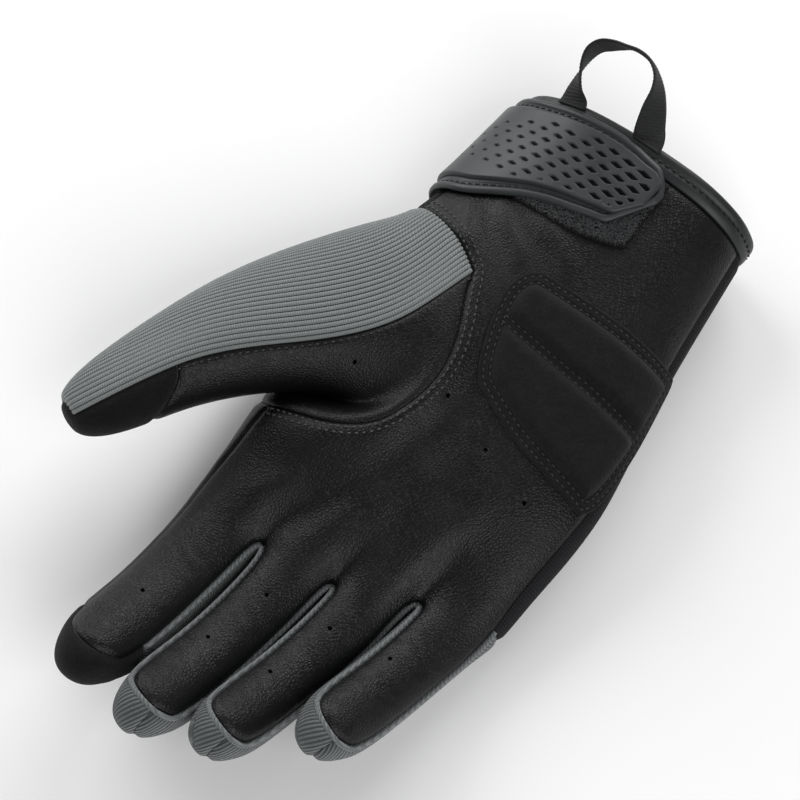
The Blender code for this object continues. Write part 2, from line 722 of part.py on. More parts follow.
def add_cage(home):
    mesh = build_cage()
    bmesh.ops.recalc_face_normals(mesh, faces=mesh.faces)
    data = bpy.data.meshes.new("glove_cage")
    mesh.to_mesh(data)
    mesh.free()
    cage = bpy.data.objects.new("glove_cage", data)
    home.objects.link(cage)
    smooth = cage.modifiers.new("smooth", "SUBSURF")
    smooth.levels = smooth.render_levels = 1
    cage.hide_render = True
    cage.display_type = "WIRE"
    return cage


def main():
    for obj in list(bpy.data.objects):
        bpy.data.objects.remove(obj)
    glove = collection("motorcycle_glove")
    cage = add_cage(collection("guides"))
    bpy.context.view_layer.update()
    skin = Skin(cage)
    for number, panel in enumerate(PANELS):
        add_node(panel.name, panel_mesh(skin, number), panel.finish, glove)
    add_node("strap_base", layer_mesh(skin, STRAP, STRAP_BASE), RUBBER, glove)
    add_node("strap_plate", layer_mesh(skin, plate_rows(), STRAP_PLATE), RUBBER, glove)
    add_node("loop_patch", layer_mesh(skin, LOOP, LOOP_PATCH), BLACK_TEXTILE, glove)
    add_node("heel_patch", layer_mesh(skin, HEEL, HEEL_PATCH, heel_height), BLACK_SUEDE, glove)
    add_node("hang_loop", hang_loop_mesh(skin), BLACK_TEXTILE, glove)
    return cage


if __name__ == "__main__":
    main()
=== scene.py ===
"""Looks of a right-hand motorcycle glove, lying on its back with the palm up.

The glove's skin is the same coarse cage as the frame's, smoothed further. It is sorted into the panels
that the glove is sewn from, given seams, folds and vents, and dressed with ribs, stitches, a moulded
wrist strap, a padded heel patch and a hanging loop. Metres, in the frame's own axes.
"""

import logging
import math
from collections.abc import Callable, Sequence
from dataclasses import dataclass, field
from enum import Enum, IntEnum

import bmesh
import bpy
import numpy as np
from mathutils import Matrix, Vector
from mathutils.bvhtree import BVHTree
from mathutils.kdtree import KDTree


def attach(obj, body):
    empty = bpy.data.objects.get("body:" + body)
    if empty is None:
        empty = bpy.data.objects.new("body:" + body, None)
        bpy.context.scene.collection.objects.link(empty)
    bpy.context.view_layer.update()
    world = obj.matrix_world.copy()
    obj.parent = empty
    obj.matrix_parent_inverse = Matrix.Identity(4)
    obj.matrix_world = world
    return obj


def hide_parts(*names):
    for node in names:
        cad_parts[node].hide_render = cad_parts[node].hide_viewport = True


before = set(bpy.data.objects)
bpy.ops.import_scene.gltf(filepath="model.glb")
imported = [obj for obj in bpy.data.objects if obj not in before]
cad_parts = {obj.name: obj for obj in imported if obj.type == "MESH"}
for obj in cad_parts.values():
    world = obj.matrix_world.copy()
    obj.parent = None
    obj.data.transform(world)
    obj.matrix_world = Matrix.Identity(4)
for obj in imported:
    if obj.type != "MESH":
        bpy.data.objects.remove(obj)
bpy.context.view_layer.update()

LOG = logging.getLogger("glove")
MM = 0.001
Ring = tuple[list, object, list, object]
Path = list[tuple[Vector, Vector]]  # places and the directions that stand up from them


class Panel(IntEnum):
    """The sewn panels, in the order of the cage's face numbers."""

    PALM = 0
    BACK = 1
    GUSSET = 2
    INDEX_SIDE = 3
    INDEX_MIDDLE = 4
    MIDDLE_RING = 5
    RING_LITTLE = 6
    LITTLE_SIDE = 7
    INDEX_TIP = 8
    THUMB_BACK = 9
    THUMB_FRONT = 10
    THUMB_TIP = 11
    BINDING = 12


NODE_OF = {
    Panel.PALM: "palm_leather",
    Panel.BACK: "back_panel",
    Panel.GUSSET: "side_gusset",
    Panel.INDEX_SIDE: "index_side",
    Panel.INDEX_MIDDLE: "fourchette_index_middle",
    Panel.MIDDLE_RING: "fourchette_middle_ring",
    Panel.RING_LITTLE: "fourchette_ring_little",
    Panel.LITTLE_SIDE: "fourchette_little_side",
    Panel.INDEX_TIP: "index_tip",
    Panel.THUMB_BACK: "thumb_back",
    Panel.THUMB_FRONT: "thumb_front",
    Panel.THUMB_TIP: "thumb_tip",
    Panel.BINDING: "cuff_binding",
}
FOURCHETTES = (Panel.INDEX_MIDDLE, Panel.MIDDLE_RING, Panel.RING_LITTLE, Panel.LITTLE_SIDE)
LEATHERS = (Panel.PALM, Panel.INDEX_SIDE, Panel.THUMB_FRONT)


@dataclass(frozen=True)
class Finger:
    """One finger's sizes, as the frame has them."""

    name: str
    web: float
    length: float
    width: float
    waist: float
    depth: float
    splay: float
    roll: float
    lift: float
    bend: float


@dataclass(frozen=True)
class Section:
    """A section of the body, in shares of the body's sizes."""

    along: float
    width: float
    shift: float
    depth: float
    hollow: float
    scallop: float
    seam: float
    edge: float


@dataclass(frozen=True)
class Joint:
    """A section of a finger, in shares of the finger's sizes."""

    along: float
    width: float
    depth: float
    bend: float


@dataclass(frozen=True)
class ThumbSection:
    """A section of the thumb, in shares of the thumb's sizes."""

    x: float
    y: float
    z: float
    width: float
    depth: float
    lean: float
    turn: float
    slant: float


@dataclass(frozen=True)
class Row:
    """A row across a laid piece: a turn round the hand and a share of the piece's length, at both edges."""

    turn: float
    y: float
    end_turn: float
    end_y: float


@dataclass
class Hand:
    """The cage of the whole glove.

    Its sizes and tables are those of the frame, so that the looks lie on the frame's own skin.
    """

    body_length: float = 0.164
    palm_depth: float = 0.037
    thumb_length: float = 0.112
    thumb_width: float = 0.058
    thumb_depth: float = 0.042
    origin_share: float = 0.640
    floor_sink: float = 0.0022
    edge_share: float = 0.95
    roundness: float = 2.3
    knuckle_shift: float = -0.00225
    bow_power: float = 3
    tip_round: float = 0.32
    tip_wall: float = 0.42
    columns: int = 3
    thumb_rows: tuple[int, int] = (3, 7)
    thumb_tip_row: int = 5
    thumb_tip: float = 0.011
    fingers: tuple[Finger, ...] = (
        Finger("index", 0.002, 0.0690, 0.0280, 0.86, 0.0235, 1.8, 2, 4, 34),
        Finger("middle", 0.004, 0.0720, 0.0245, 0.86, 0.0230, 4.4, 8, 4, 36),
        Finger("ring", -0.002, 0.0715, 0.0232, 0.87, 0.0220, 6.8, 12, 4, 36),
        Finger("little", -0.014, 0.0630, 0.0268, 0.80, 0.0215, 8.8, 16, 4, 34),
    )
    body: tuple[Section, ...] = (
        Section(0.000, 0.837, -0.028, 1.24, 0.00, 0.00, 0.42, 0.990),
        Section(0.018, 0.842, -0.029, 1.23, 0.00, 0.00, 0.42, 0.990),
        Section(0.200, 0.899, -0.023, 1.19, 0.00, 0.00, 0.38, 0.990),
        Section(0.370, 0.958, -0.017, 1.13, 0.00, 0.00, 0.32, 0.990),
        Section(0.460, 0.999, -0.023, 1.08, 0.03, 0.00, 0.20, 0.990),
        Section(0.550, 1.029, -0.029, 1.02, 0.06, 0.00, 0.12, 0.985),
        Section(0.640, 1.060, -0.036, 0.98, 0.08, 0.00, 0.12, 0.960),
        Section(0.760, 1.060, -0.036, 0.93, 0.07, 0.03, 0.22, 0.930),
        Section(0.880, 1.029, -0.029, 0.82, 0.03, 0.25, 0.36, 0.930),
    )
    joints: tuple[Joint, ...] = (
        Joint(0.12, 1.04, 0.98, 0.05),
        Joint(0.36, 1.00, 0.95, 0.32),
        Joint(0.60, 0.99, 0.93, 0.66),
        Joint(0.82, 1.00, 0.88, 0.96),
        Joint(0.95, 0.90, 0.70, 1.05),
    )
    palmar_spots: tuple = ((0.470, 0.26), (0.235, 0.485), (-0.235, 0.485), (-0.470, 0.26))
    thumb_seam: tuple = (
        (0.152, 0.418, 1.041), (0.239, 0.372, 1.027), (0.337, 0.348, 0.986),
        (0.429, 0.335, 0.838), (0.478, 0.335, 0.541), (0.449, 0.372, 0.189),
        (0.463, 0.463, 0.095), (0.478, 0.567, 0.081), (0.488, 0.671, 0.095),
        (0.488, 0.762, 0.162), (0.512, 0.808, 0.459), (0.439, 0.808, 0.784),
        (0.312, 0.793, 0.932), (0.195, 0.765, 0.986), (0.093, 0.710, 1.027),
        (0.039, 0.634, 1.054), (0.037, 0.555, 1.068), (0.078, 0.479, 1.068),
    )
    thumb: tuple[ThumbSection, ...] = (
        ThumbSection(0.107, 0.005, -0.009, 1.000, 1.000, 0.50, 112, 0.0),
        ThumbSection(0.210, 0.126, 0.013, 0.810, 0.857, 0.12, 118, 0.0),
        ThumbSection(0.286, 0.255, 0.035, 0.655, 0.738, 0.00, 122, 0.1),
        ThumbSection(0.357, 0.394, 0.060, 0.526, 0.636, 0.00, 122, 0.6),
        ThumbSection(0.399, 0.501, 0.075, 0.466, 0.571, 0.00, 118, 1.0),
        ThumbSection(0.435, 0.604, 0.089, 0.410, 0.512, 0.00, 114, 0.4),
        ThumbSection(0.463, 0.685, 0.098, 0.328, 0.429, 0.00, 112, 0.0),
        ThumbSection(0.480, 0.728, 0.102, 0.207, 0.274, 0.00, 112, 0.0),
    )
    tip_seam: tuple = ((118, 40, -0.080), (-150, 50, 0.062))  # turn, spread in degrees and reach
    places: list[Vector] = field(default_factory=list)
    faces: list[tuple[int, ...]] = field(default_factory=list)
    panels: list[int] = field(default_factory=list)
    chart: list[tuple] = field(default_factory=list)

    @staticmethod
    def swell(points: int) -> float:
        """How much larger a ring of this many points is made, because smoothing draws it in."""
        return 3 / (2 + math.cos(2 * math.pi / points))

    def knuckle_width(self) -> float:
        """The width across the four fingers' roots."""
        return sum(finger.width for finger in self.fingers)

    def along_body(self, share: float) -> float:
        """The place along Y that lies this share of the body's length from the cuff."""
        return (share - self.origin_share) * self.body_length

    def finger_frame(self, finger: Finger, bend: float) -> tuple[Vector, Vector, Vector]:
        """Side, palmar and forward directions of a finger's section.

        Args:
            finger: the finger.
            bend: the share of the finger's bend that is done there.

        Returns:
            The three directions.
        """
        heading = math.radians(finger.splay)
        lift = math.radians(finger.lift + finger.bend * bend)
        roll = math.radians(finger.roll)
        side = Vector((math.cos(heading), -math.sin(heading), 0))
        forward = Vector((
            math.sin(heading) * math.cos(lift),
            math.cos(heading) * math.cos(lift),
            math.sin(lift),
        ))
        palmar = side.cross(forward)
        return (
            side * math.cos(roll) + palmar * math.sin(roll),
            palmar * math.cos(roll) - side * math.sin(roll),
            forward,
        )

    def finger_roots(self) -> list[Vector]:
        """The middle of each finger's root, side by side across the knuckles."""
        edge = self.knuckle_width() / 2 + self.knuckle_shift
        roots = []
        for finger in self.fingers:
            middle = edge - finger.width / 2
            edge -= finger.width
            height = finger.depth / 2 - self.floor_sink / 2
            roots.append(Vector((middle, self.along_body(1) + finger.web, height)))
        return roots

    def column_spots(self) -> list[tuple[float, float, float, float]]:
        """Where each palmar column crosses the knuckles: x, y, rise and the root's height."""
        spots = []
        roots = self.finger_roots()
        for number, (finger, root) in enumerate(zip(self.fingers, roots)):
            for i, (across, height) in enumerate(self.palmar_spots):
                if i == 0 and number:
                    continue
                x, y = root.x + across * finger.width, root.y
                if i == self.columns and number < len(self.fingers) - 1:
                    after = self.fingers[number + 1]
                    x = root.x - finger.width / 2
                    y = self.along_body(1) + (finger.web + after.web) / 2
                spots.append((x, y, height * finger.depth, root.z))
        return spots

    def body_ring(self, section: Section, spots: list) -> tuple:
        """Points of one body section.

        Args:
            section: the section's row.
            spots: the columns' crossings of the knuckles.

        Returns:
            Palmar points, outer wall, dorsal points and thumb-side wall.
        """
        half = section.width * self.knuckle_width() / 2
        shift = section.shift * self.knuckle_width()
        depth = section.depth * self.palm_depth
        centre = depth / 2 - self.floor_sink / 2
        row_y = self.along_body(section.along)
        mean_y = sum(spot[1] for spot in spots) / len(spots)
        bow = section.along**self.bow_power
        grow = self.swell(2 * len(spots) + 2)
        top, bottom = [], []
        seam_x = spots[self.columns][0]
        for x, y, rise, root_z in spots:
            if x > seam_x:
                step = (x - seam_x) / (spots[0][0] - seam_x)
                share = section.seam + (self.edge_share - section.seam) * step
            else:
                step = (seam_x - x) / (seam_x - spots[-1][0])
                share = section.seam - (section.edge + section.seam) * step
            oval = depth / 2 * (1 - abs(share) ** self.roundness) ** (1 / self.roundness)
            hollow = section.hollow * self.palm_depth * (1 - min(1, abs(share) / 0.75) ** 2)
            lift = oval * (1 - section.scallop) + rise * section.scallop
            middle = centre * (1 - section.scallop) + root_z * section.scallop
            at = (half * share + shift, row_y + bow * (y - mean_y))
            top.append(Vector((*at, middle + grow * (lift - hollow))))
            bottom.append(Vector((*at, middle - grow * lift)))
        side_z = centre * (1 - section.scallop) + spots[0][3] * section.scallop
        inner = Vector((half * grow + shift, top[0].y, side_z))
        outer = Vector((-half * grow + shift, top[-1].y, side_z))
        return top, outer, bottom, inner

    def web_ring(self, spots: list) -> tuple:
        """The section at the webs, where the body's outline has become the four fingers'."""
        grow = self.swell(2 * len(self.palmar_spots) + 2)
        top = [Vector((x, y, z + grow * rise)) for x, y, rise, z in spots]
        bottom = [Vector((x, y, z - grow * rise)) for x, y, rise, z in spots]
        roots = self.finger_roots()
        inner = roots[0] + Vector((self.fingers[0].width / 2 * grow, 0, 0))
        outer = roots[-1] - Vector((self.fingers[-1].width / 2 * grow, 0, 0))
        return top, outer, bottom, inner

    def finger_ring(self, finger: Finger, middle: Vector, joint: Joint) -> tuple:
        """The ten points of a finger's section: four palmar, outer wall, four dorsal, thumb-side wall."""
        side, palmar, _ = self.finger_frame(finger, joint.bend)
        grow = self.swell(2 * len(self.palmar_spots) + 2)
        width = finger.width * finger.waist * joint.width * grow
        depth = finger.depth * joint.depth * grow
        top = [middle + side * a * width + palmar * h * depth for a, h in self.palmar_spots]
        bottom = [middle + side * a * width - palmar * h * depth for a, h in self.palmar_spots]
        return top, middle - side * width / 2, bottom, middle + side * width / 2

    def point(self, place: Vector) -> int:
        """Adds a point and gives its number."""
        self.places.append(place)
        return len(self.places) - 1

    def ring(self, ring: tuple) -> tuple:
        """Adds a ring's points and gives their numbers in the same order."""
        top, outer, bottom, inner = ring
        return [self.point(p) for p in top], self.point(outer), [self.point(p) for p in bottom], self.point(inner)

    def face(self, corners: Sequence[int], panel: Panel, chart: Sequence = ((0, 0),) * 4) -> None:
        """Adds a face of a panel, with its corners' places on the thumb's chart."""
        self.faces.append(tuple(corners))
        self.panels.append(int(panel))
        self.chart.extend(chart[: len(corners)])

    @staticmethod
    def loop_of(ring: tuple) -> list[int]:
        """A ring's points in order round it, starting at the thumb-side wall."""
        top, outer, bottom, inner = ring
        return [inner, *top, outer, *reversed(bottom), inner]

    def strip(self, first: list[int], second: list[int], panels: Sequence[Panel]) -> None:
        """Faces between two open rows of points."""
        for i, panel in enumerate(panels):
            self.face((first[i], first[i + 1], second[i + 1], second[i]), panel)

    def build_body(self) -> list[tuple]:
        """The body from the cuff to the webs, with the thumb's hole left open.

        Returns:
            Its rings of point numbers.
        """
        spots = self.column_spots()
        rings = [self.ring(self.body_ring(section, spots)) for section in self.body]
        rings.append(self.ring(self.web_ring(spots)))
        palmar = len(spots) - 1
        for row in range(len(rings) - 1):
            side = Panel.INDEX_SIDE if row >= self.thumb_rows[1] else Panel.BACK
            panels = [side, *[Panel.PALM] * palmar, *[Panel.GUSSET] * 2, *[Panel.BACK] * palmar, side]
            if row == 0:
                panels = [Panel.BINDING] * len(panels)
            first, second = self.loop_of(rings[row]), self.loop_of(rings[row + 1])
            hole = self.thumb_rows[0] <= row < self.thumb_rows[1]
            for i, panel in enumerate(panels):
                if hole and (i <= self.columns or i == len(panels) - 1):
                    continue
                self.face((first[i], first[i + 1], second[i + 1], second[i]), panel)
        return rings

    def build_finger(self, index: int, web: tuple) -> None:
        """One finger from its root ring, which shares its web points with its neighbours."""
        finger = self.fingers[index]
        walls = (Panel.INDEX_SIDE, *FOURCHETTES)[index : index + 2]
        ring, middle = web, self.finger_roots()[index]
        start, bend = 0.0, 0.0
        for row, joint in enumerate(self.joints):
            forward = self.finger_frame(finger, (bend + joint.bend) / 2)[2]
            middle = middle + forward * (joint.along - start) * finger.length
            start, bend = joint.along, joint.bend
            top, outer, bottom, inner = self.finger_ring(finger, middle, joint)
            last = row == len(self.joints) - 1
            if last:
                bulge = self.finger_frame(finger, joint.bend)[2] * self.tip_round * finger.width
                for side in (top, bottom):
                    side[1] = side[1] + bulge
                    side[2] = side[2] + bulge
            after = self.ring((top, outer, bottom, inner))
            sides = (Panel.INDEX_TIP,) * 2 if index == 0 and last else walls
            panels = [sides[0], *[Panel.PALM] * self.columns, *[sides[1]] * 2]
            panels += [*[Panel.BACK] * self.columns, sides[0]]
            self.strip(self.loop_of(ring), self.loop_of(after), panels)
            ring = after
        out = self.finger_frame(finger, self.joints[-1].bend)[2] * self.tip_wall * finger.width
        top, outer, bottom, inner = ring
        ends = [
            self.point((self.places[top[i]] + self.places[bottom[i]]) / 2 + out * 0.35) for i in (1, 2)
        ]
        row_of_ends = [inner, *ends, outer]
        panels = [walls[0], walls[0], walls[1]]
        if index == 0:
            panels = [Panel.INDEX_TIP] * self.columns
        self.strip(top, row_of_ends, panels)
        self.strip(row_of_ends, bottom, panels)

    def build_fingers(self, rings: list[tuple]) -> None:
        """The four fingers, side by side from the webs."""
        top, outer, bottom, wall = rings[-1]
        for index in range(len(self.fingers)):
            first = self.columns * index
            mine_top = top[first : first + self.columns + 1]
            mine_bottom = bottom[first : first + self.columns + 1]
            after = outer
            if index < len(self.fingers) - 1:
                after = self.point((self.places[mine_top[-1]] + self.places[mine_bottom[-1]]) / 2)
            self.build_finger(index, (mine_top, after, mine_bottom, wall))
            wall = after

    def thumb_root(self, rings: list[tuple]) -> list[int]:
        """The body's points round the thumb's hole, moved to the root seam's spots."""
        low, high = self.thumb_rows
        loops = [self.loop_of(ring) for ring in rings]
        across = [*range(self.columns + 1, -1, -1), -2]
        root = [loops[low][i] for i in across]
        root += [loops[row][-2] for row in range(low + 1, high)]
        root += [loops[high][i] for i in reversed(across)]
        root += [loops[row][self.columns + 1] for row in range(high - 1, low, -1)]
        for point, (x, y, z) in zip(root, self.thumb_seam):
            self.places[point] = Vector((x * self.knuckle_width(), self.along_body(y), z * self.palm_depth))
        return root

    def tip_swing(self, turn: float) -> float:
        """How far the seam of the thumb's suede tip stands forward at this turn round the thumb."""
        reach = 0.0
        for middle, spread, share in self.tip_seam:
            away = (turn - middle + 180) % 360 - 180
            reach += share * self.thumb_length * math.exp(-((away / spread) ** 2))
        return reach

    def build_thumb(self, rings: list[tuple]) -> None:
        """The thumb, from the seam round its root to its tip."""
        root = self.thumb_root(rings)
        count = len(root)
        grow = self.swell(count)
        start = sum((self.places[p] for p in root), Vector()) / count
        middles = [start + Vector((row.x, row.y, row.z)) * self.thumb_length for row in self.thumb]
        ring = root
        for row, section in enumerate(self.thumb):
            before, after = middles[max(0, row - 1)], middles[min(len(self.thumb) - 1, row + 1)]
            forward = (after - before).normalized()
            side = forward.cross(Vector((0, 0, 1))).normalized()
            deep = side.cross(forward)
            made = []
            for i in range(count):
                turn = math.radians(section.turn) - 2 * math.pi * i / count
                spot = (
                    middles[row]
                    + side * math.cos(turn) * section.width * self.thumb_width / 2 * grow
                    + deep * math.sin(turn) * section.depth * self.thumb_depth / 2 * grow
                    + forward * self.tip_swing(math.degrees(turn)) * section.slant
                )
                made.append(self.point(spot.lerp(self.places[root[i]], section.lean)))
            front = Panel.THUMB_FRONT if row < self.thumb_tip_row else Panel.THUMB_TIP
            for i in range(count):
                j = (i + 1) % count
                panel = Panel.THUMB_BACK if i < count // 2 else front
                chart = ((i, row), (i + 1, row), (i + 1, row + 1), (i, row + 1))
                self.face((ring[i], ring[j], made[j], made[i]), panel, chart)
            ring = made
        out = (middles[-1] - middles[-2]).normalized() * self.thumb_tip * self.thumb_length
        tip = self.point(middles[-1] + out)
        for i in range(count):
            self.face((ring[i], ring[(i + 1) % count], tip), Panel.THUMB_TIP)

    def cage(self) -> bpy.types.Object:
        """Builds the cage.

        Returns:
            The cage as an object, with panels as material numbers and the thumb's chart as a UV map.
        """
        rings = self.build_body()
        self.build_fingers(rings)
        self.build_thumb(rings)
        mesh = bpy.data.meshes.new("cage")
        mesh.from_pydata([tuple(p) for p in self.places], [], self.faces)
        mesh.polygons.foreach_set("material_index", self.panels)
        layer = mesh.uv_layers.new(name="chart")
        layer.data.foreach_set("uv", [value for corner in self.chart for value in corner])
        work = bmesh.new()
        work.from_mesh(mesh)
        bmesh.ops.recalc_face_normals(work, faces=work.faces)
        work.to_mesh(mesh)
        work.free()
        cage = bpy.data.objects.new("cage", mesh)
        bpy.context.scene.collection.objects.link(cage)
        return cage


@dataclass(frozen=True)
class Fold:
    """A soft fold in the leather, from one place to another in X and Y, highest in its middle."""

    start: tuple[float, float]
    end: tuple[float, float]
    width: float
    height: float


@dataclass
class Skin:
    """The glove's smoothed outer surface, as arrays, with its seams, folds and vents."""

    hand: Hand
    levels: int = 4
    seam_gap: float = 0.3 * MM
    groove_depth: float = 0.75 * MM
    groove_width: float = 1.3 * MM
    vent_depth: float = 0.35 * MM
    vent_width: float = 0.8 * MM
    unevenness: float = 0.07 * MM
    bow: float = 0.75
    bow_row: float = 1.7
    relax_rounds: int = 48
    relax_reach: float = 7 * MM
    folds: tuple[Fold, ...] = (
        Fold((0.034, -0.063), (0.013, -0.030), 2.8 * MM, 1.5 * MM),
        Fold((0.024, -0.066), (0.004, -0.047), 3.0 * MM, 1.5 * MM),
        Fold((0.012, -0.066), (-0.012, -0.055), 3.6 * MM, 0.9 * MM),
        Fold((0.021, 0.040), (0.033, 0.056), 4.5 * MM, 0.7 * MM),
        Fold((0.006, 0.030), (0.016, 0.058), 4.5 * MM, -0.8 * MM),
        Fold((-0.008, 0.036), (-0.006, 0.056), 4.5 * MM, 0.6 * MM),
        Fold((-0.030, 0.028), (-0.030, 0.048), 4.5 * MM, -0.6 * MM),
        Fold((0.018, 0.034), (-0.034, 0.026), 5.0 * MM, 0.5 * MM),
        Fold((0.002, 0.004), (-0.012, 0.020), 4.0 * MM, -0.5 * MM),
    )
    vents: tuple = (
        (0.0367, 0.0975), (0.0083, 0.0760), (0.0129, 0.0975), (-0.0128, 0.0733), (-0.0082, 0.0953),
        (-0.0330, 0.0711), (-0.0007, -0.0031), (-0.0194, 0.0036), (-0.0380, 0.0102), (0.0281, 0.0048),
    )

    def __post_init__(self) -> None:
        """Smooths the cage and works out the relief."""
        cage = self.hand.cage()
        smooth = cage.modifiers.new("smooth", "SUBSURF")
        smooth.levels = smooth.render_levels = self.levels
        smooth.uv_smooth = "NONE"
        graph = bpy.context.evaluated_depsgraph_get()
        mesh = bpy.data.meshes.new_from_object(cage.evaluated_get(graph))
        count = len(mesh.vertices)
        self.points = np.empty(count * 3)
        mesh.vertices.foreach_get("co", self.points)
        self.points = self.points.reshape(-1, 3)
        self.points[:, 2] = np.maximum(self.points[:, 2], 0)
        self.faces = np.empty(len(mesh.loops), np.int64)
        mesh.loops.foreach_get("vertex_index", self.faces)
        self.faces = self.faces.reshape(-1, 4)
        self.panel = np.empty(len(self.faces), np.int64)
        mesh.polygons.foreach_get("material_index", self.panel)
        chart = np.empty(len(mesh.loops) * 2)
        mesh.uv_layers["chart"].data.foreach_get("uv", chart)
        self.chart = chart.reshape(-1, 4, 2)
        self.normals = self.normals_of(self.points)
        self.flat_tree = self.tree_of(self.points)
        bpy.data.meshes.remove(mesh)
        bpy.data.objects.remove(cage)
        self.bow_thumb_seam()
        self.find_borders()
        self.relax_seams()
        self.smooth_points = self.points.copy()
        self.points = self.points + self.normals * self.relief()[:, None]
        self.points[:, 2] = np.maximum(self.points[:, 2], 0)
        self.normals = self.normals_of(self.points)
        self.tree = self.tree_of(self.points)

    def thumb_grid(self) -> np.ndarray:
        """The numbers of the thumb's points: one row for each step along it, round from its seam."""
        fine = 2**self.levels
        mine = np.isin(self.panel, (Panel.THUMB_BACK, Panel.THUMB_FRONT, Panel.THUMB_TIP))
        faces, chart = self.faces[mine], self.chart[mine]
        spots = np.rint(chart * fine).astype(int)
        known = spots.reshape(len(faces), -1).any(axis=1)
        faces, spots = faces[known], spots[known]
        grid = np.full((len(self.hand.thumb) * fine + 1, len(self.hand.thumb_seam) * fine + 1), -1)
        grid[spots[..., 1].ravel(), spots[..., 0].ravel()] = faces.ravel()
        return grid

    def bow_thumb_seam(self) -> None:
        """Slides the thumb's points round it, so that its upper seam bows down towards the palm."""
        fine = 2**self.levels
        grid = self.thumb_grid()
        columns = grid.shape[1] - 1
        for number, row in enumerate(grid):
            at = number / fine
            bow = self.bow * fine * math.exp(-(((at - self.bow_row) / 1.3) ** 2)) * min(1, at)
            if bow < 0.01 or (row < 0).any():
                continue
            ring = self.points[row]
            index = np.arange(columns)
            away = (index + columns // 2) % columns - columns // 2
            shift = bow * np.exp(-((away / (2.6 * fine)) ** 2))
            source = (index - shift) % columns
            for axis in range(3):
                self.points[row[:-1], axis] = np.interp(source, np.arange(columns + 1), ring[:, axis])
        self.normals = self.normals_of(self.points)

    def normals_of(self, points: np.ndarray) -> np.ndarray:
        """The outward direction at each point, averaged over its faces."""
        corners = points[self.faces]
        across = np.cross(corners[:, 2] - corners[:, 0], corners[:, 3] - corners[:, 1])
        total = np.zeros_like(points)
        for k in range(4):
            np.add.at(total, self.faces[:, k], across)
        return total / np.maximum(np.linalg.norm(total, axis=1), 1e-12)[:, None]

    def tree_of(self, points: np.ndarray) -> BVHTree:
        """A search tree over the surface."""
        return BVHTree.FromPolygons(points.tolist(), self.faces.tolist())

    def find_borders(self) -> None:
        """Finds the edges where two panels meet, and each point's distance from the nearest of them."""
        edges = np.stack([self.faces, np.roll(self.faces, -1, axis=1)], axis=-1).reshape(-1, 2)
        edges = np.sort(edges, axis=1)
        owner = np.repeat(np.arange(len(self.faces)), 4)
        order = np.lexsort((edges[:, 1], edges[:, 0]))
        edges, owner = edges[order], owner[order]
        same = np.all(edges[1:] == edges[:-1], axis=1)
        first, second = owner[:-1][same], owner[1:][same]
        differ = self.panel[first] != self.panel[second]
        self.border = edges[:-1][same][differ]
        self.border_faces = np.stack([first[differ], second[differ]], axis=1)

    def relax_seams(self) -> None:
        """Rounds the corners of the seams by letting their points slide over the surface."""
        count = len(self.points)
        edges = np.stack([self.faces, np.roll(self.faces, -1, axis=1)], axis=-1).reshape(-1, 2)
        key, times = np.unique(np.sort(edges, axis=1), axis=0, return_counts=True)
        open_edge = np.unique(key[times == 1])
        degree = np.bincount(self.border.ravel(), minlength=count)
        on_seam = degree > 0
        sliding = degree == 2
        sliding[open_edge] = False
        near = self.distance_to(self.points[on_seam], self.points) < self.relax_reach
        near &= ~on_seam
        near[open_edge] = False
        links = np.bincount(key.ravel(), minlength=count)
        moved = np.nonzero(sliding | near)[0]
        form = self.flat_tree
        for step in range(self.relax_rounds):
            seam_sum, all_sum = np.zeros((count, 3)), np.zeros((count, 3))
            for axis in range(3):
                values = self.points[:, axis]
                for pairs, total in ((self.border, seam_sum), (key, all_sum)):
                    total[:, axis] = np.bincount(pairs[:, 0], values[pairs[:, 1]], count)
                    total[:, axis] += np.bincount(pairs[:, 1], values[pairs[:, 0]], count)
            self.points[sliding] = (self.points[sliding] + seam_sum[sliding] / 2) / 2
            self.points[near] = (self.points[near] + all_sum[near] / links[near, None]) / 2
            if step % 12 == 11 or step == self.relax_rounds - 1:
                for point in moved:
                    self.points[point] = form.find_nearest(self.points[point])[0]
        self.normals = self.normals_of(self.points)
        self.flat_tree = self.tree_of(self.points)
        self.seam_distance = self.distance_to(self.points[on_seam], self.points)

    @staticmethod
    def distance_to(targets: np.ndarray, points: np.ndarray, reach: float = 0.012) -> np.ndarray:
        """Each point's distance from the nearest target.

        Args:
            targets: the places to measure from.
            points: the places that are measured.
            reach: targets further than this don't matter, and this is given instead.

        Returns:
            One distance for each point.
        """
        tree = KDTree(len(targets))
        for i, target in enumerate(targets):
            tree.insert(target, i)
        tree.balance()
        return np.array([min(reach, tree.find(point)[2]) for point in points])

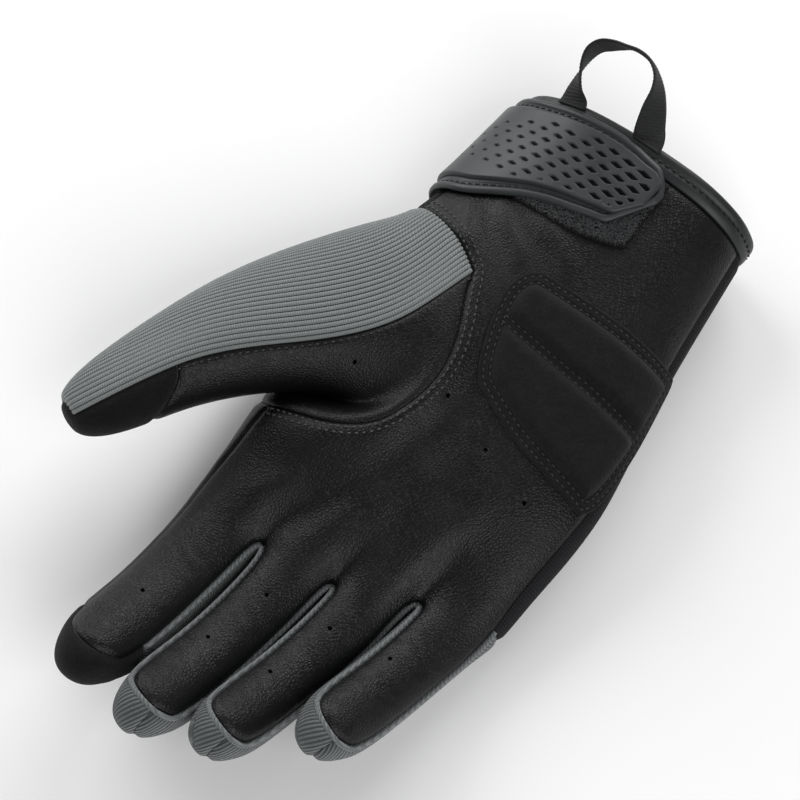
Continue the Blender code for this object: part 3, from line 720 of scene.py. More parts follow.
    def relief(self) -> np.ndarray:
        """How far each point stands off the smooth form: grooves along seams, folds, creases and vents."""
        x, y, z = self.points.T
        height = -self.groove_depth * np.exp(-((self.seam_distance / self.groove_width) ** 2))
        palmar = np.clip((self.normals[:, 2] - 0.15) / 0.4, 0, 1)
        on_palm = np.zeros(len(x))
        on_palm[self.faces[np.isin(self.panel, (Panel.PALM, Panel.INDEX_SIDE))].ravel()] = 1
        inside = np.clip(self.seam_distance / (3 * MM), 0, 1)
        soft = np.zeros(len(x))
        for fold in self.folds:
            (ax, ay), (bx, by) = fold.start, fold.end
            length = math.hypot(bx - ax, by - ay)
            ux, uy = (bx - ax) / length, (by - ay) / length
            along = ((x - ax) * ux + (y - ay) * uy) / length
            away = (x - ax) * uy - (y - ay) * ux
            away = away + 0.6 * MM * np.sin(along * 7 + ax * 900)
            taper = np.clip(1 - (2 * along - 1) ** 2, 0, 1)
            soft += fold.height * taper * np.exp(-((away / fold.width) ** 2))
        soft += self.creases(x, y)
        rng = np.random.default_rng(7)
        for wave in (0.031, 0.019, 0.012):
            for _ in range(3):
                turn, phase = rng.uniform(0, 2 * math.pi, 2)
                step = (x * math.cos(turn) + y * math.sin(turn) + z * 0.6) * 2 * math.pi / wave
                soft += self.unevenness * wave / 0.031 * np.sin(step + phase) / 1.5
        height += soft * palmar * inside * on_palm
        for vent_x, vent_y in self.vents:
            away = np.hypot(x - vent_x, y - vent_y)
            height -= self.vent_depth * palmar * np.exp(-((away / self.vent_width) ** 2))
        return height

    def creases(self, x: np.ndarray, y: np.ndarray) -> np.ndarray:
        """Fine wrinkles across the fingers at their joints."""
        height = np.zeros(len(x))
        for finger, root in zip(self.hand.fingers, self.hand.finger_roots()):
            heading = math.radians(finger.splay)
            along = (x - root.x) * math.sin(heading) + (y - root.y) * math.cos(heading)
            across = (x - root.x) * math.cos(heading) - (y - root.y) * math.sin(heading)
            near = np.exp(-((across / (finger.width * 0.42)) ** 4))
            for joint in (0.30, 0.55):
                away = along / finger.length - joint
                band = np.exp(-((away / 0.09) ** 2))
                wave = np.sin(along / (0.9 * MM) + 1.6 * np.sin(across / (2.6 * MM)))
                height += 0.10 * MM * near * band * wave
        return height

    def over(self, turn: float, y: float) -> tuple[Vector, Vector]:
        """The skin's place and outward direction at a turn round the hand and a distance along it."""
        angle = math.radians(turn)
        ray = Vector((math.cos(angle), 0, math.sin(angle)))
        start = Vector((-0.0026, y, 0.32 * self.hand.palm_depth))
        place, normal, _, _ = self.flat_tree.ray_cast(start, ray)
        return place, normal if normal.dot(ray) > 0 else -normal

    def drop(self, place: Vector, height: float = 0.0) -> tuple[Vector, Vector]:
        """The nearest place on the finished surface, stood off by a height, and its outward direction."""
        spot, normal, _, _ = self.tree.find_nearest(place)
        return spot + normal * height, normal

    def seam(self, panel: Panel, others: Sequence[Panel]) -> list[np.ndarray]:
        """The chains of points where a panel meets others.

        Args:
            panel: the panel whose border is followed.
            others: the panels on the far side.

        Returns:
            Chains of point numbers, longest first.
        """
        sides = self.panel[self.border_faces]
        far = np.where(sides[:, 0] == panel, sides[:, 1], sides[:, 0])
        mine = np.any(sides == panel, axis=1) & np.isin(far, [int(p) for p in others])
        links: dict[int, list[int]] = {}
        for a, b in self.border[mine]:
            links.setdefault(int(a), []).append(int(b))
            links.setdefault(int(b), []).append(int(a))
        chains = []
        starts = sorted(links, key=lambda p: len(links[p]))
        for start in starts:
            if not links[start]:
                continue
            chain = [start]
            while links[chain[-1]]:
                after = links[chain[-1]].pop(0)
                links[after].remove(chain[-1])
                chain.append(after)
            chains.append(np.array(chain))
        return sorted(chains, key=len, reverse=True)

    def beside(self, chain: np.ndarray, panel: Panel, offset: float, height: float) -> Path:
        """A line that runs along a seam on one of its panels.

        Args:
            chain: the seam's point numbers.
            panel: the panel that the line runs on.
            offset: the distance from the seam.
            height: how far the line stands off the surface.

        Returns:
            Places and outward directions.
        """
        points = self.smooth_points[chain]
        for _ in range(6):
            inner = (points[:-2] + 2 * points[1:-1] + points[2:]) / 4
            points = np.vstack([points[:1], inner, points[-1:]])
        tangent = np.gradient(points, axis=0)
        side = np.cross(self.normals[chain], tangent)
        side /= np.maximum(np.linalg.norm(side, axis=1), 1e-12)[:, None]
        faces = np.unique(self.border_faces[np.isin(self.border, chain).all(axis=1)])
        faces = faces[self.panel[faces] == panel]
        centres = self.points[self.faces[faces]].mean(axis=1)
        towards = centres[np.argmin(np.linalg.norm(centres - points[len(points) // 2], axis=1))]
        if side[len(points) // 2] @ (towards - points[len(points) // 2]) < 0:
            side = -side
        return [self.drop(Vector(place), height) for place in points + side * offset]

    def panel_piece(self, panel: Panel, wall: float, rise: float = 0.0) -> bpy.types.Object:
        """A closed wall for one panel: its outer face, its inner face and the rim between them.

        Args:
            panel: the panel.
            wall: its thickness.
            rise: how far it stands off the skin.

        Returns:
            The piece.
        """
        mine = np.nonzero(self.panel == panel)[0]
        faces = self.faces[mine]
        used, inverse = np.unique(faces, return_inverse=True)
        faces = inverse.reshape(-1, 4)
        outer = self.points[used] + self.normals[used] * rise
        inner = self.smooth_points[used] - self.normals[used] * wall
        edges = np.stack([faces, np.roll(faces, -1, axis=1)], axis=-1).reshape(-1, 2)
        key = np.sort(edges, axis=1)
        _, index, counts = np.unique(key, axis=0, return_index=True, return_counts=True)
        rim = edges[index[counts == 1]]
        pull = np.zeros_like(outer)
        centre = outer[faces].mean(axis=1)
        owner = np.repeat(np.arange(len(faces)), 4)[index[counts == 1]]
        along = outer[rim[:, 1]] - outer[rim[:, 0]]
        along /= np.maximum(np.linalg.norm(along, axis=1), 1e-12)[:, None]
        towards = centre[owner] - outer[rim[:, 0]]
        towards -= along * np.sum(towards * along, axis=1)[:, None]
        towards /= np.maximum(np.linalg.norm(towards, axis=1), 1e-12)[:, None]
        for k in (0, 1):
            np.add.at(pull, rim[:, k], towards)
        size = np.linalg.norm(pull, axis=1)
        pull[size > 0] *= (self.seam_gap / 2 / size[size > 0])[:, None]
        outer, inner = outer + pull, inner + pull
        outer[:, 2] = np.maximum(outer[:, 2], 0)
        count = len(used)
        quads = np.vstack([faces, faces[:, ::-1] + count])
        sides = np.stack([rim[:, 1], rim[:, 0], rim[:, 0] + count, rim[:, 1] + count], axis=1)
        piece = piece_of(NODE_OF[panel], np.vstack([outer, inner]), np.vstack([quads, sides]))
        return piece


def piece_of(name: str, points: Sequence, faces: Sequence) -> bpy.types.Object:
    """A smooth-shaded mesh object at the origin.

    Args:
        name: the piece's name.
        points: its points.
        faces: its faces, as point numbers.

    Returns:
        The object.
    """
    mesh = bpy.data.meshes.new(name)
    points = points.tolist() if isinstance(points, np.ndarray) else points
    faces = faces.tolist() if isinstance(faces, np.ndarray) else faces
    mesh.from_pydata(points, [], faces)
    mesh.shade_smooth()
    piece = bpy.data.objects.new(name, mesh)
    bpy.context.scene.collection.objects.link(piece)
    return piece


class Look:
    """One procedural material, built node by node."""

    def __init__(self, name: str) -> None:
        """Starts a material with a Principled shader."""
        self.material = bpy.data.materials.new(name)
        self.material.use_nodes = True
        self.tree = self.material.node_tree
        self.shader = self.tree.nodes["Principled BSDF"]
        self.place = self.add("ShaderNodeTexCoord").outputs["Object"]

    def add(self, kind: str, inputs: dict | None = None, **settings: object) -> bpy.types.Node:
        """Adds a node.

        Args:
            kind: the node's type.
            inputs: values or sockets for its inputs, by name or number.
            settings: the node's own properties.

        Returns:
            The node.
        """
        node = self.tree.nodes.new(kind)
        for key, value in settings.items():
            setattr(node, key, value)
        for key, value in (inputs or {}).items():
            self.feed(node.inputs[key], value)
        return node

    def feed(self, socket: bpy.types.NodeSocket, value: object) -> None:
        """Links a socket to another, or sets its value."""
        if isinstance(value, bpy.types.NodeSocket):
            self.tree.links.new(value, socket)
        else:
            socket.default_value = value

    def math(self, operation: str, a: object, b: object = 0.0) -> bpy.types.NodeSocket:
        """The result of a sum on one or two values."""
        return self.add("ShaderNodeMath", {0: a, 1: b}, operation=operation).outputs[0]

    def span(self, value: object, low: float, high: float, to_low: float, to_high: float) -> object:
        """Maps a value from one range to another."""
        inputs = {"Value": value, 1: low, 2: high, 3: to_low, 4: to_high}
        return self.add("ShaderNodeMapRange", inputs).outputs["Result"]

    def noise(self, size: float, detail: float = 3.0, vector: object = None) -> bpy.types.NodeSocket:
        """Noise whose lumps are about this size in metres."""
        inputs = {"Vector": vector or self.place, "Scale": 1 / size, "Detail": detail}
        return self.add("ShaderNodeTexNoise", inputs).outputs["Fac"]

    def mix(self, share: object, first: tuple, second: tuple) -> bpy.types.NodeSocket:
        """A colour between two."""
        node = self.add("ShaderNodeMix", data_type="RGBA")
        self.feed(node.inputs["Factor"], share)
        self.feed(node.inputs[6], (*first, 1.0))
        self.feed(node.inputs[7], (*second, 1.0))
        return node.outputs[2]

    def bump(self, height: object, depth: float, under: object = None) -> bpy.types.NodeSocket:
        """The direction of a surface with this relief, its depth in metres."""
        inputs = {"Height": height, "Distance": depth, "Strength": 1.0}
        if under is not None:
            inputs["Normal"] = under
        return self.add("ShaderNodeBump", inputs).outputs["Normal"]

    def close(self, colour: object, roughness: object, normal: object = None, **fixed: object) -> bpy.types.Material:
        """Feeds the shader.

        Args:
            colour: the base colour, as a socket or three numbers.
            roughness: a socket or a number.
            normal: the bumped direction.
            fixed: other shader inputs, by name with spaces as underscores.

        Returns:
            The finished material.
        """
        self.feed(self.shader.inputs["Base Color"], colour if isinstance(colour, bpy.types.NodeSocket) else (*colour, 1.0))
        self.feed(self.shader.inputs["Roughness"], roughness)
        if normal is not None:
            self.feed(self.shader.inputs["Normal"], normal)
        for key, value in fixed.items():
            self.feed(self.shader.inputs[key.replace("_", " ")], value)
        return self.material


@dataclass(frozen=True)
class LeatherFinish:
    """Fine pebbled leather with a soft sheen."""

    dark: tuple = (0.0018, 0.0019, 0.0021)
    light: tuple = (0.0056, 0.0057, 0.0059)
    grain: float = 0.98 * MM
    depth: float = 0.085 * MM
    specular: float = 0.28

    def material(self, name: str) -> bpy.types.Material:
        """Builds the leather."""
        look = Look(name)
        warp = look.add("ShaderNodeTexNoise", {"Vector": look.place, "Scale": 1 / (2.5 * MM), "Detail": 2.0})
        shift = look.add(
            "ShaderNodeVectorMath",
            {0: warp.outputs["Color"], 1: (0.3 * MM, 0.3 * MM, 0.3 * MM)},
            operation="MULTIPLY",
        )
        moved = look.add("ShaderNodeVectorMath", {0: look.place, 1: shift.outputs[0]}, operation="ADD")
        cells = look.add(
            "ShaderNodeTexVoronoi",
            {"Vector": moved.outputs[0], "Scale": 1 / self.grain},
            feature="DISTANCE_TO_EDGE",
        ).outputs["Distance"]
        pebble = look.span(cells, 0.0, 0.32, 0.0, 1.0)
        patches = look.span(look.noise(19 * MM, 2.0), 0.35, 0.65, 0.85, 1.0)
        fine = look.noise(0.35 * MM, 3.0)
        height = look.math("ADD", look.math("MULTIPLY", pebble, patches), look.math("MULTIPLY", fine, 0.12))
        normal = look.bump(height, self.depth)
        worn = look.span(look.noise(26 * MM, 3.0), 0.35, 0.7, 0.0, 1.0)
        # The colour darkens towards each pebble's edge: painted shade in the creases of the grain, over random
        # patches of tone.
        shade = look.math("MULTIPLY", worn, pebble)
        rough = look.span(look.noise(14 * MM, 3.0), 0.3, 0.7, 0.37, 0.49)
        return look.close(
            look.mix(shade, self.dark, self.light), rough, normal, Specular_IOR_Level=self.specular
        )


@dataclass(frozen=True)
class RibFinish:
    """Ribbed textile. Its ribs follow the U of the piece's own map where it has one."""

    # Valley colour: painted shade between the ribs.
    shaded_valley: tuple = (0.030, 0.034, 0.036)
    crest: tuple = (0.150, 0.165, 0.170)
    pitch: float = 1.15 * MM
    depth: float = 0.35 * MM
    mapped: bool = True

    def material(self, name: str) -> bpy.types.Material:
        """Builds the ribbed textile."""
        look = Look(name)
        yarn = look.noise(0.32 * MM, 2.0)
        cloud = look.noise(9 * MM, 2.0)
        if self.mapped:
            chart = look.add("ShaderNodeUVMap", uv_map="weave").outputs["UV"]
            split = look.add("ShaderNodeSeparateXYZ", {0: chart})
            turn = look.math("MULTIPLY", split.outputs["X"], 2 * math.pi / self.pitch)
            wobble = look.math("MULTIPLY", look.noise(3 * MM, 2.0), 0.5)
            wave = look.math("SINE", look.math("ADD", turn, wobble))
            rib = look.span(wave, -1.0, 1.0, 0.0, 1.0)
            twill = look.math(
                "SINE",
                look.math(
                    "ADD",
                    look.math("MULTIPLY", split.outputs["Y"], 2 * math.pi / (0.75 * MM)),
                    look.math("MULTIPLY", turn, 0.5),
                ),
            )
            height = look.math("ADD", rib, look.math("MULTIPLY", twill, 0.16))
        else:
            rib = look.span(yarn, 0.3, 0.7, 0.25, 1.0)
            height = rib
        height = look.math("ADD", height, look.math("MULTIPLY", yarn, 0.35))
        # Darker towards the valleys between the ribs: painted shade, mixed with random cloud and yarn tone.
        share = look.math("MULTIPLY", look.span(rib, 0.1, 0.8, 0.12, 1.0), look.span(cloud, 0.3, 0.7, 0.8, 1.0))
        share = look.math("MULTIPLY", share, look.span(yarn, 0.3, 0.7, 0.75, 1.1))
        return look.close(
            look.mix(share, self.shaded_valley, self.crest),
            0.85,
            look.bump(height, self.depth),
            Specular_IOR_Level=0.25,
            Sheen_Weight=0.25,
            Sheen_Roughness=0.5,
        )


@dataclass(frozen=True)
class CordFinish:
    """Twisted grey yarn of a single rib or of piping."""

    # Valley colour: painted shade in the grooves of the twist.
    shaded_valley: tuple = (0.060, 0.066, 0.068)
    crest: tuple = (0.300, 0.320, 0.318)
    twist: float = 0.85 * MM
    depth: float = 0.12 * MM

    def material(self, name: str) -> bpy.types.Material:
        """Builds the yarn."""
        look = Look(name)
        split = look.add("ShaderNodeSeparateXYZ", {0: look.place})
        slope = look.math("ADD", split.outputs["X"], look.math("MULTIPLY", split.outputs["Y"], 0.75))
        slope = look.math("SUBTRACT", slope, look.math("MULTIPLY", split.outputs["Z"], 0.9))
        wave = look.math("SINE", look.math("MULTIPLY", slope, 2 * math.pi / self.twist))
        yarn = look.noise(0.30 * MM, 2.0)
        # Darker in the grooves of the twist: painted shade, mixed with random yarn tone.
        share = look.math("MULTIPLY", look.span(wave, -1.0, 1.0, 0.5, 1.0), look.span(yarn, 0.3, 0.7, 0.6, 1.0))
        height = look.math("ADD", look.span(wave, -1.0, 1.0, 0.0, 0.6), yarn)
        return look.close(
            look.mix(share, self.shaded_valley, self.crest),
            0.88,
            look.bump(height, self.depth),
            Specular_IOR_Level=0.25,
            Sheen_Weight=0.3,
            Sheen_Roughness=0.5,
        )


@dataclass(frozen=True)
class SuedeFinish:
    """Brushed suede with cloudy nap."""

    dark: tuple = (0.0030, 0.0030, 0.0031)
    light: tuple = (0.0080, 0.0079, 0.0080)

    def material(self, name: str) -> bpy.types.Material:
        """Builds the suede."""
        look = Look(name)
        nap = look.noise(4 * MM, 4.0)
        fibre = look.noise(0.25 * MM, 2.0)
        tuft = look.noise(0.9 * MM, 3.0)
        share = look.math("MULTIPLY", look.span(nap, 0.3, 0.7, 0.3, 1.0), look.span(tuft, 0.3, 0.7, 0.1, 1.2))
        return look.close(
            look.mix(share, self.dark, self.light),
            0.95,
            look.bump(look.math("ADD", fibre, look.math("MULTIPLY", tuft, 1.6)), 0.16 * MM),
            Specular_IOR_Level=0.15,
            Sheen_Weight=0.06,
            Sheen_Roughness=0.6,
        )


@dataclass(frozen=True)
class KnitFinish:
    """Small diagonal knit or weave."""

    dark: tuple = (0.0045, 0.0047, 0.0056)
    light: tuple = (0.0180, 0.0185, 0.0210)
    stitch: float = 1.0 * MM
    depth: float = 0.22 * MM

    def material(self, name: str) -> bpy.types.Material:
        """Builds the knit."""
        look = Look(name)
        split = look.add("ShaderNodeSeparateXYZ", {0: look.place})
        lean = look.math("ADD", split.outputs["Z"], look.math("MULTIPLY", split.outputs["X"], 0.8))
        rate = 2 * math.pi / self.stitch
        zigzag = look.math("MULTIPLY", look.math("SINE", look.math("MULTIPLY", lean, rate)), 0.9)
        bars = look.math("SINE", look.math("ADD", look.math("MULTIPLY", split.outputs["Y"], rate), zigzag))
        loops = look.span(bars, -1.0, 1.0, 0.0, 1.0)
        yarn = look.noise(0.3 * MM, 2.0)
        share = look.math("MULTIPLY", loops, look.span(yarn, 0.3, 0.7, 0.5, 1.0))
        return look.close(
            look.mix(share, self.dark, self.light),
            0.85,
            look.bump(look.math("ADD", loops, look.math("MULTIPLY", yarn, 0.4)), self.depth),
            Specular_IOR_Level=0.25,
        )


@dataclass(frozen=True)
class RubberFinish:
    """Satin moulded rubber or coated binding."""

    colour: tuple = (0.022, 0.025, 0.027)
    worn: tuple = (0.030, 0.034, 0.036)
    roughness: float = 0.42
    specular: float = 0.45

    def material(self, name: str) -> bpy.types.Material:
        """Builds the rubber."""
        look = Look(name)
        speckle = look.noise(0.22 * MM, 2.0)
        cloud = look.noise(11 * MM, 3.0)
        rough = look.span(cloud, 0.3, 0.7, self.roughness - 0.05, self.roughness + 0.07)
        shade = look.mix(look.span(cloud, 0.3, 0.7, 0.0, 1.0), self.colour, self.worn)
        # The dents are painted near black towards their bottoms, as shade, and lose their specular there.
        deep = look.add("ShaderNodeAttribute", attribute_name="deep").outputs["Fac"]
        dent_shaded = look.add("ShaderNodeMix", {6: shade, 7: (0.002, 0.002, 0.003, 1.0)}, data_type="RGBA")
        look.feed(dent_shaded.inputs["Factor"], look.span(deep, 0.1, 0.75, 0.0, 0.92))
        return look.close(
            dent_shaded.outputs[2],
            rough,
            look.bump(speckle, 0.018 * MM),
            Specular_IOR_Level=look.span(deep, 0.1, 0.6, self.specular, 0.08),
        )


@dataclass(frozen=True)
class FibreFinish:
    """Plain fibres: thread, webbing yarn and loop pile."""

    colour: tuple = (0.012, 0.012, 0.013)
    light: tuple = (0.030, 0.031, 0.033)
    roughness: float = 0.7
    specular: float = 0.35

    def material(self, name: str) -> bpy.types.Material:
        """Builds the fibre."""
        look = Look(name)
        yarn = look.noise(0.28 * MM, 2.0)
        return look.close(
            look.mix(look.span(yarn, 0.35, 0.65, 0.0, 1.0), self.colour, self.light),
            self.roughness,
            look.bump(yarn, 0.06 * MM),
            Specular_IOR_Level=self.specular,
        )


class Shape(Enum):
    """What a pattern tree makes of the line or points that it is given."""

    STITCHES = "stitches"
    CORDS = "cords"
    VENTS = "vents"
    PILE = "pile"


class PatternTree:
    """A Geometry Nodes tree with named inputs, which turns guide lines into repeated detail."""

    def __init__(self, shape: Shape) -> None:
        """Starts the tree and makes its nodes."""
        self.tree = bpy.data.node_groups.new(shape.value, "GeometryNodeTree")
        face = self.tree.interface
        face.new_socket("Geometry", in_out="INPUT", socket_type="NodeSocketGeometry")
        face.new_socket("Geometry", in_out="OUTPUT", socket_type="NodeSocketGeometry")
        for name in ("Pitch", "Length", "Radius"):
            face.new_socket(name, in_out="INPUT", socket_type="NodeSocketFloat")
        face.new_socket("Seed", in_out="INPUT", socket_type="NodeSocketInt")
        face.new_socket("Material", in_out="INPUT", socket_type="NodeSocketMaterial")
        self.entry = self.tree.nodes.new("NodeGroupInput")
        makers = {
            Shape.STITCHES: self.stitches,
            Shape.CORDS: self.cords,
            Shape.VENTS: self.vents,
            Shape.PILE: self.pile,
        }
        made = makers[shape]()
        realized = self.add("GeometryNodeRealizeInstances", {0: made})
        smooth = self.add("GeometryNodeSetShadeSmooth", {"Geometry": realized.outputs[0]})
        dressed = self.add(
            "GeometryNodeSetMaterial",
            {"Geometry": smooth.outputs[0], "Material": self.entry.outputs["Material"]},
        )
        leave = self.tree.nodes.new("NodeGroupOutput")
        self.tree.links.new(dressed.outputs[0], leave.inputs[0])

    def add(self, kind: str, inputs: dict | None = None, **settings: object) -> bpy.types.Node:
        """Adds a node, as Look.add does."""
        node = self.tree.nodes.new(kind)
        for key, value in settings.items():
            setattr(node, key, value)
        for key, value in (inputs or {}).items():
            if isinstance(value, bpy.types.NodeSocket):
                self.tree.links.new(value, node.inputs[key])
            else:
                node.inputs[key].default_value = value
        return node

    def standing(self, tangent: bool) -> bpy.types.NodeSocket:
        """The turn that stands an instance up along the guide's own direction."""
        up = self.add("GeometryNodeInputNamedAttribute", {"Name": "up"}, data_type="FLOAT_VECTOR")
        if not tangent:
            node = self.add("FunctionNodeAlignRotationToVector", {"Vector": up.outputs[0]}, axis="Z")
            return node.outputs[0]
        along = self.add("GeometryNodeInputTangent")
        node = self.add(
            "FunctionNodeAxesToRotation",
            {0: up.outputs[0], 1: along.outputs[0]},
            primary_axis="Z",
            secondary_axis="X",
        )
        return node.outputs[0]

    def sized(self, x: object, y: object, z: object) -> bpy.types.NodeSocket:
        """Three lengths as a scale."""
        return self.add("ShaderNodeCombineXYZ", {0: x, 1: y, 2: z}).outputs[0]

    def stitches(self) -> bpy.types.NodeSocket:
        """A stitch at each pitch along the guide lines."""
        curve = self.add("GeometryNodeMeshToCurve", {0: self.entry.outputs["Geometry"]})
        steps = self.add(
            "GeometryNodeResampleCurve", {0: curve.outputs[0], 3: self.entry.outputs["Pitch"]}, mode="LENGTH"
        )
        bead = self.add("GeometryNodeMeshUVSphere", {"Segments": 6, "Rings": 5, "Radius": 1.0})
        radius = self.entry.outputs["Radius"]
        half = self.add("ShaderNodeMath", {0: self.entry.outputs["Length"], 1: 0.5}, operation="MULTIPLY")
        put = self.add(
            "GeometryNodeInstanceOnPoints",
            {
                "Points": steps.outputs[0],
                "Instance": bead.outputs[0],
                "Rotation": self.standing(True),
                "Scale": self.sized(half.outputs[0], radius, radius),
            },
        )
        return put.outputs[0]

    def cords(self) -> bpy.types.NodeSocket:
        """A round cord along each guide line."""
        curve = self.add("GeometryNodeMeshToCurve", {0: self.entry.outputs["Geometry"]})
        ring = self.add(
            "GeometryNodeCurvePrimitiveCircle", {"Resolution": 8, "Radius": self.entry.outputs["Radius"]}
        )
        made = self.add(
            "GeometryNodeCurveToMesh",
            {"Curve": curve.outputs[0], "Profile Curve": ring.outputs[0], "Fill Caps": True},
        )
        return made.outputs[0]

    def vents(self) -> bpy.types.NodeSocket:
        """A small dished disc at each guide point."""
        points = self.add("GeometryNodeMeshToPoints", {0: self.entry.outputs["Geometry"]})
        disc = self.add(
            "GeometryNodeMeshCone",
            {"Vertices": 16, "Radius Top": 0.0, "Radius Bottom": 1.0, "Depth": 0.3},
        )
        radius = self.entry.outputs["Radius"]
        put = self.add(
            "GeometryNodeInstanceOnPoints",
            {
                "Points": points.outputs[0],
                "Instance": disc.outputs[0],
                "Rotation": self.standing(False),
                "Scale": self.sized(radius, radius, radius),
            },
        )
        return put.outputs[0]

    def pile(self) -> bpy.types.NodeSocket:
        """Short bent fibres scattered over the guide's faces."""
        density = self.add("ShaderNodeMath", {0: 1.0, 1: self.entry.outputs["Pitch"]}, operation="DIVIDE")
        square = self.add("ShaderNodeMath", {0: density.outputs[0], 1: 2.0}, operation="POWER")
        spread = self.add(
            "GeometryNodeDistributePointsOnFaces",
            {
                "Mesh": self.entry.outputs["Geometry"],
                "Density": square.outputs[0],
                "Seed": self.entry.outputs["Seed"],
            },
        )
        arc = self.add(
            "GeometryNodeCurveArc",
            {"Resolution": 6, "Radius": 1.0, "Start Angle": 0.0, "Sweep Angle": math.radians(200)},
        )
        ring = self.add("GeometryNodeCurvePrimitiveCircle", {"Resolution": 3, "Radius": 0.16})
        fibre = self.add(
            "GeometryNodeCurveToMesh",
            {"Curve": arc.outputs[0], "Profile Curve": ring.outputs[0], "Fill Caps": True},
        )
        seed = self.entry.outputs["Seed"]
        turn = self.add(
            "FunctionNodeRandomValue",
            {0: (0.9, -0.5, 0.0), 1: (2.2, 0.5, 2 * math.pi), "Seed": seed},
            data_type="FLOAT_VECTOR",
        )
        tilt = self.add("FunctionNodeEulerToRotation", {0: turn.outputs[0]})
        stand = self.add(
            "FunctionNodeRotateRotation",
            {"Rotation": tilt.outputs[0], "Rotate By": spread.outputs["Rotation"]},
        )
        size = self.add("FunctionNodeRandomValue", {2: 0.5, 3: 1.2, "Seed": seed}, data_type="FLOAT")
        length = self.add(
            "ShaderNodeMath", {0: size.outputs[1], 1: self.entry.outputs["Length"]}, operation="MULTIPLY"
        )
        put = self.add(
            "GeometryNodeInstanceOnPoints",
            {
                "Points": spread.outputs["Points"],
                "Instance": fibre.outputs[0],
                "Rotation": stand.outputs[0],
                "Scale": self.sized(length.outputs[0], length.outputs[0], length.outputs[0]),
            },
        )
        return put.outputs[0]

    def make(
        self,
        name: str,
        guide: bpy.types.Object,
        material: bpy.types.Material,
        pitch: float = 2 * MM,
        length: float = 1 * MM,
        radius: float = 0.3 * MM,
        seed: int = 1,
    ) -> bpy.types.Object:
        """Runs the tree on a guide.

        Args:
            name: the new piece's name.
            guide: the mesh that holds the guide lines, points or faces. It is removed.
            material: the finish.
            pitch: the distance from one copy to the next.
            length: a copy's length.
            radius: a copy's half-width.
            seed: the seed of what is scattered.

        Returns:
            The piece, as a plain mesh.
        """
        modifier = guide.modifiers.new("pattern", "NODES")
        modifier.node_group = self.tree
        values = {"Pitch": pitch, "Length": length, "Radius": radius, "Seed": seed, "Material": material}
        for item in self.tree.interface.items_tree:
            if item.in_out == "INPUT" and item.name in values:
                modifier[item.identifier] = values[item.name]
        graph = bpy.context.evaluated_depsgraph_get()
        mesh = bpy.data.meshes.new_from_object(guide.evaluated_get(graph))
        mesh.name = name
        bpy.data.objects.remove(guide)
        piece = bpy.data.objects.new(name, mesh)
        bpy.context.scene.collection.objects.link(piece)
        return piece


def guide_of(paths: Sequence[Path], closed: bool = False) -> bpy.types.Object:
    """Guide lines as a mesh of edges, each point with the direction that stands up from it.

    Args:
        paths: the lines.
        closed: whether each line runs back to its start.

    Returns:
        The guide object.
    """
    points, ups, edges = [], [], []
    for path in paths:
        first = len(points)
        points += [tuple(place) for place, _ in path]
        ups += [tuple(up) for _, up in path]
        edges += [(first + i, first + i + 1) for i in range(len(path) - 1)]
        if closed:
            edges.append((first + len(path) - 1, first))
    mesh = bpy.data.meshes.new("guide")
    mesh.from_pydata(points, edges, [])
    layer = mesh.attributes.new("up", "FLOAT_VECTOR", "POINT")
    layer.data.foreach_set("vector", [value for up in ups for value in up])
    guide = bpy.data.objects.new("guide", mesh)
    bpy.context.scene.collection.objects.link(guide)
    return guide


def settle(piece: bpy.types.Object, slot: str, *nodes: str) -> bpy.types.Object:
    """Puts a finished piece on the frame.

    Args:
        piece: the piece.
        slot: the record's material slot; not used.
        nodes: the frame's nodes that it stands for.

    Returns:
        The same piece.
    """
    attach(piece, "root")
    if nodes:
        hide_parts(*nodes)
    LOG.info("%s: %d faces", piece.name, len(piece.data.polygons))
    return piece


@dataclass
class Patterns:
    """The pattern trees and the finishes that several sub-assemblies share."""

    def __post_init__(self) -> None:
        """Builds the trees and the shared materials."""
        self.stitches = PatternTree(Shape.STITCHES)
        self.cords = PatternTree(Shape.CORDS)
        self.vents = PatternTree(Shape.VENTS)
        self.pile = PatternTree(Shape.PILE)
        self.leather = LeatherFinish().material("black_leather")
        self.thread = FibreFinish((0.014, 0.014, 0.015), (0.080, 0.082, 0.086), 0.45).material("grey_thread")
        self.dark_thread = FibreFinish((0.007, 0.007, 0.007), (0.048, 0.049, 0.052), 0.45).material("black_thread")
        # Near-black, unreflective discs on the vents: painted shade standing for the holes' dark insides.
        self.void = FibreFinish((0.001, 0.001, 0.001), (0.002, 0.002, 0.002), 1.0, 0.0).material("vent_hole_shade")


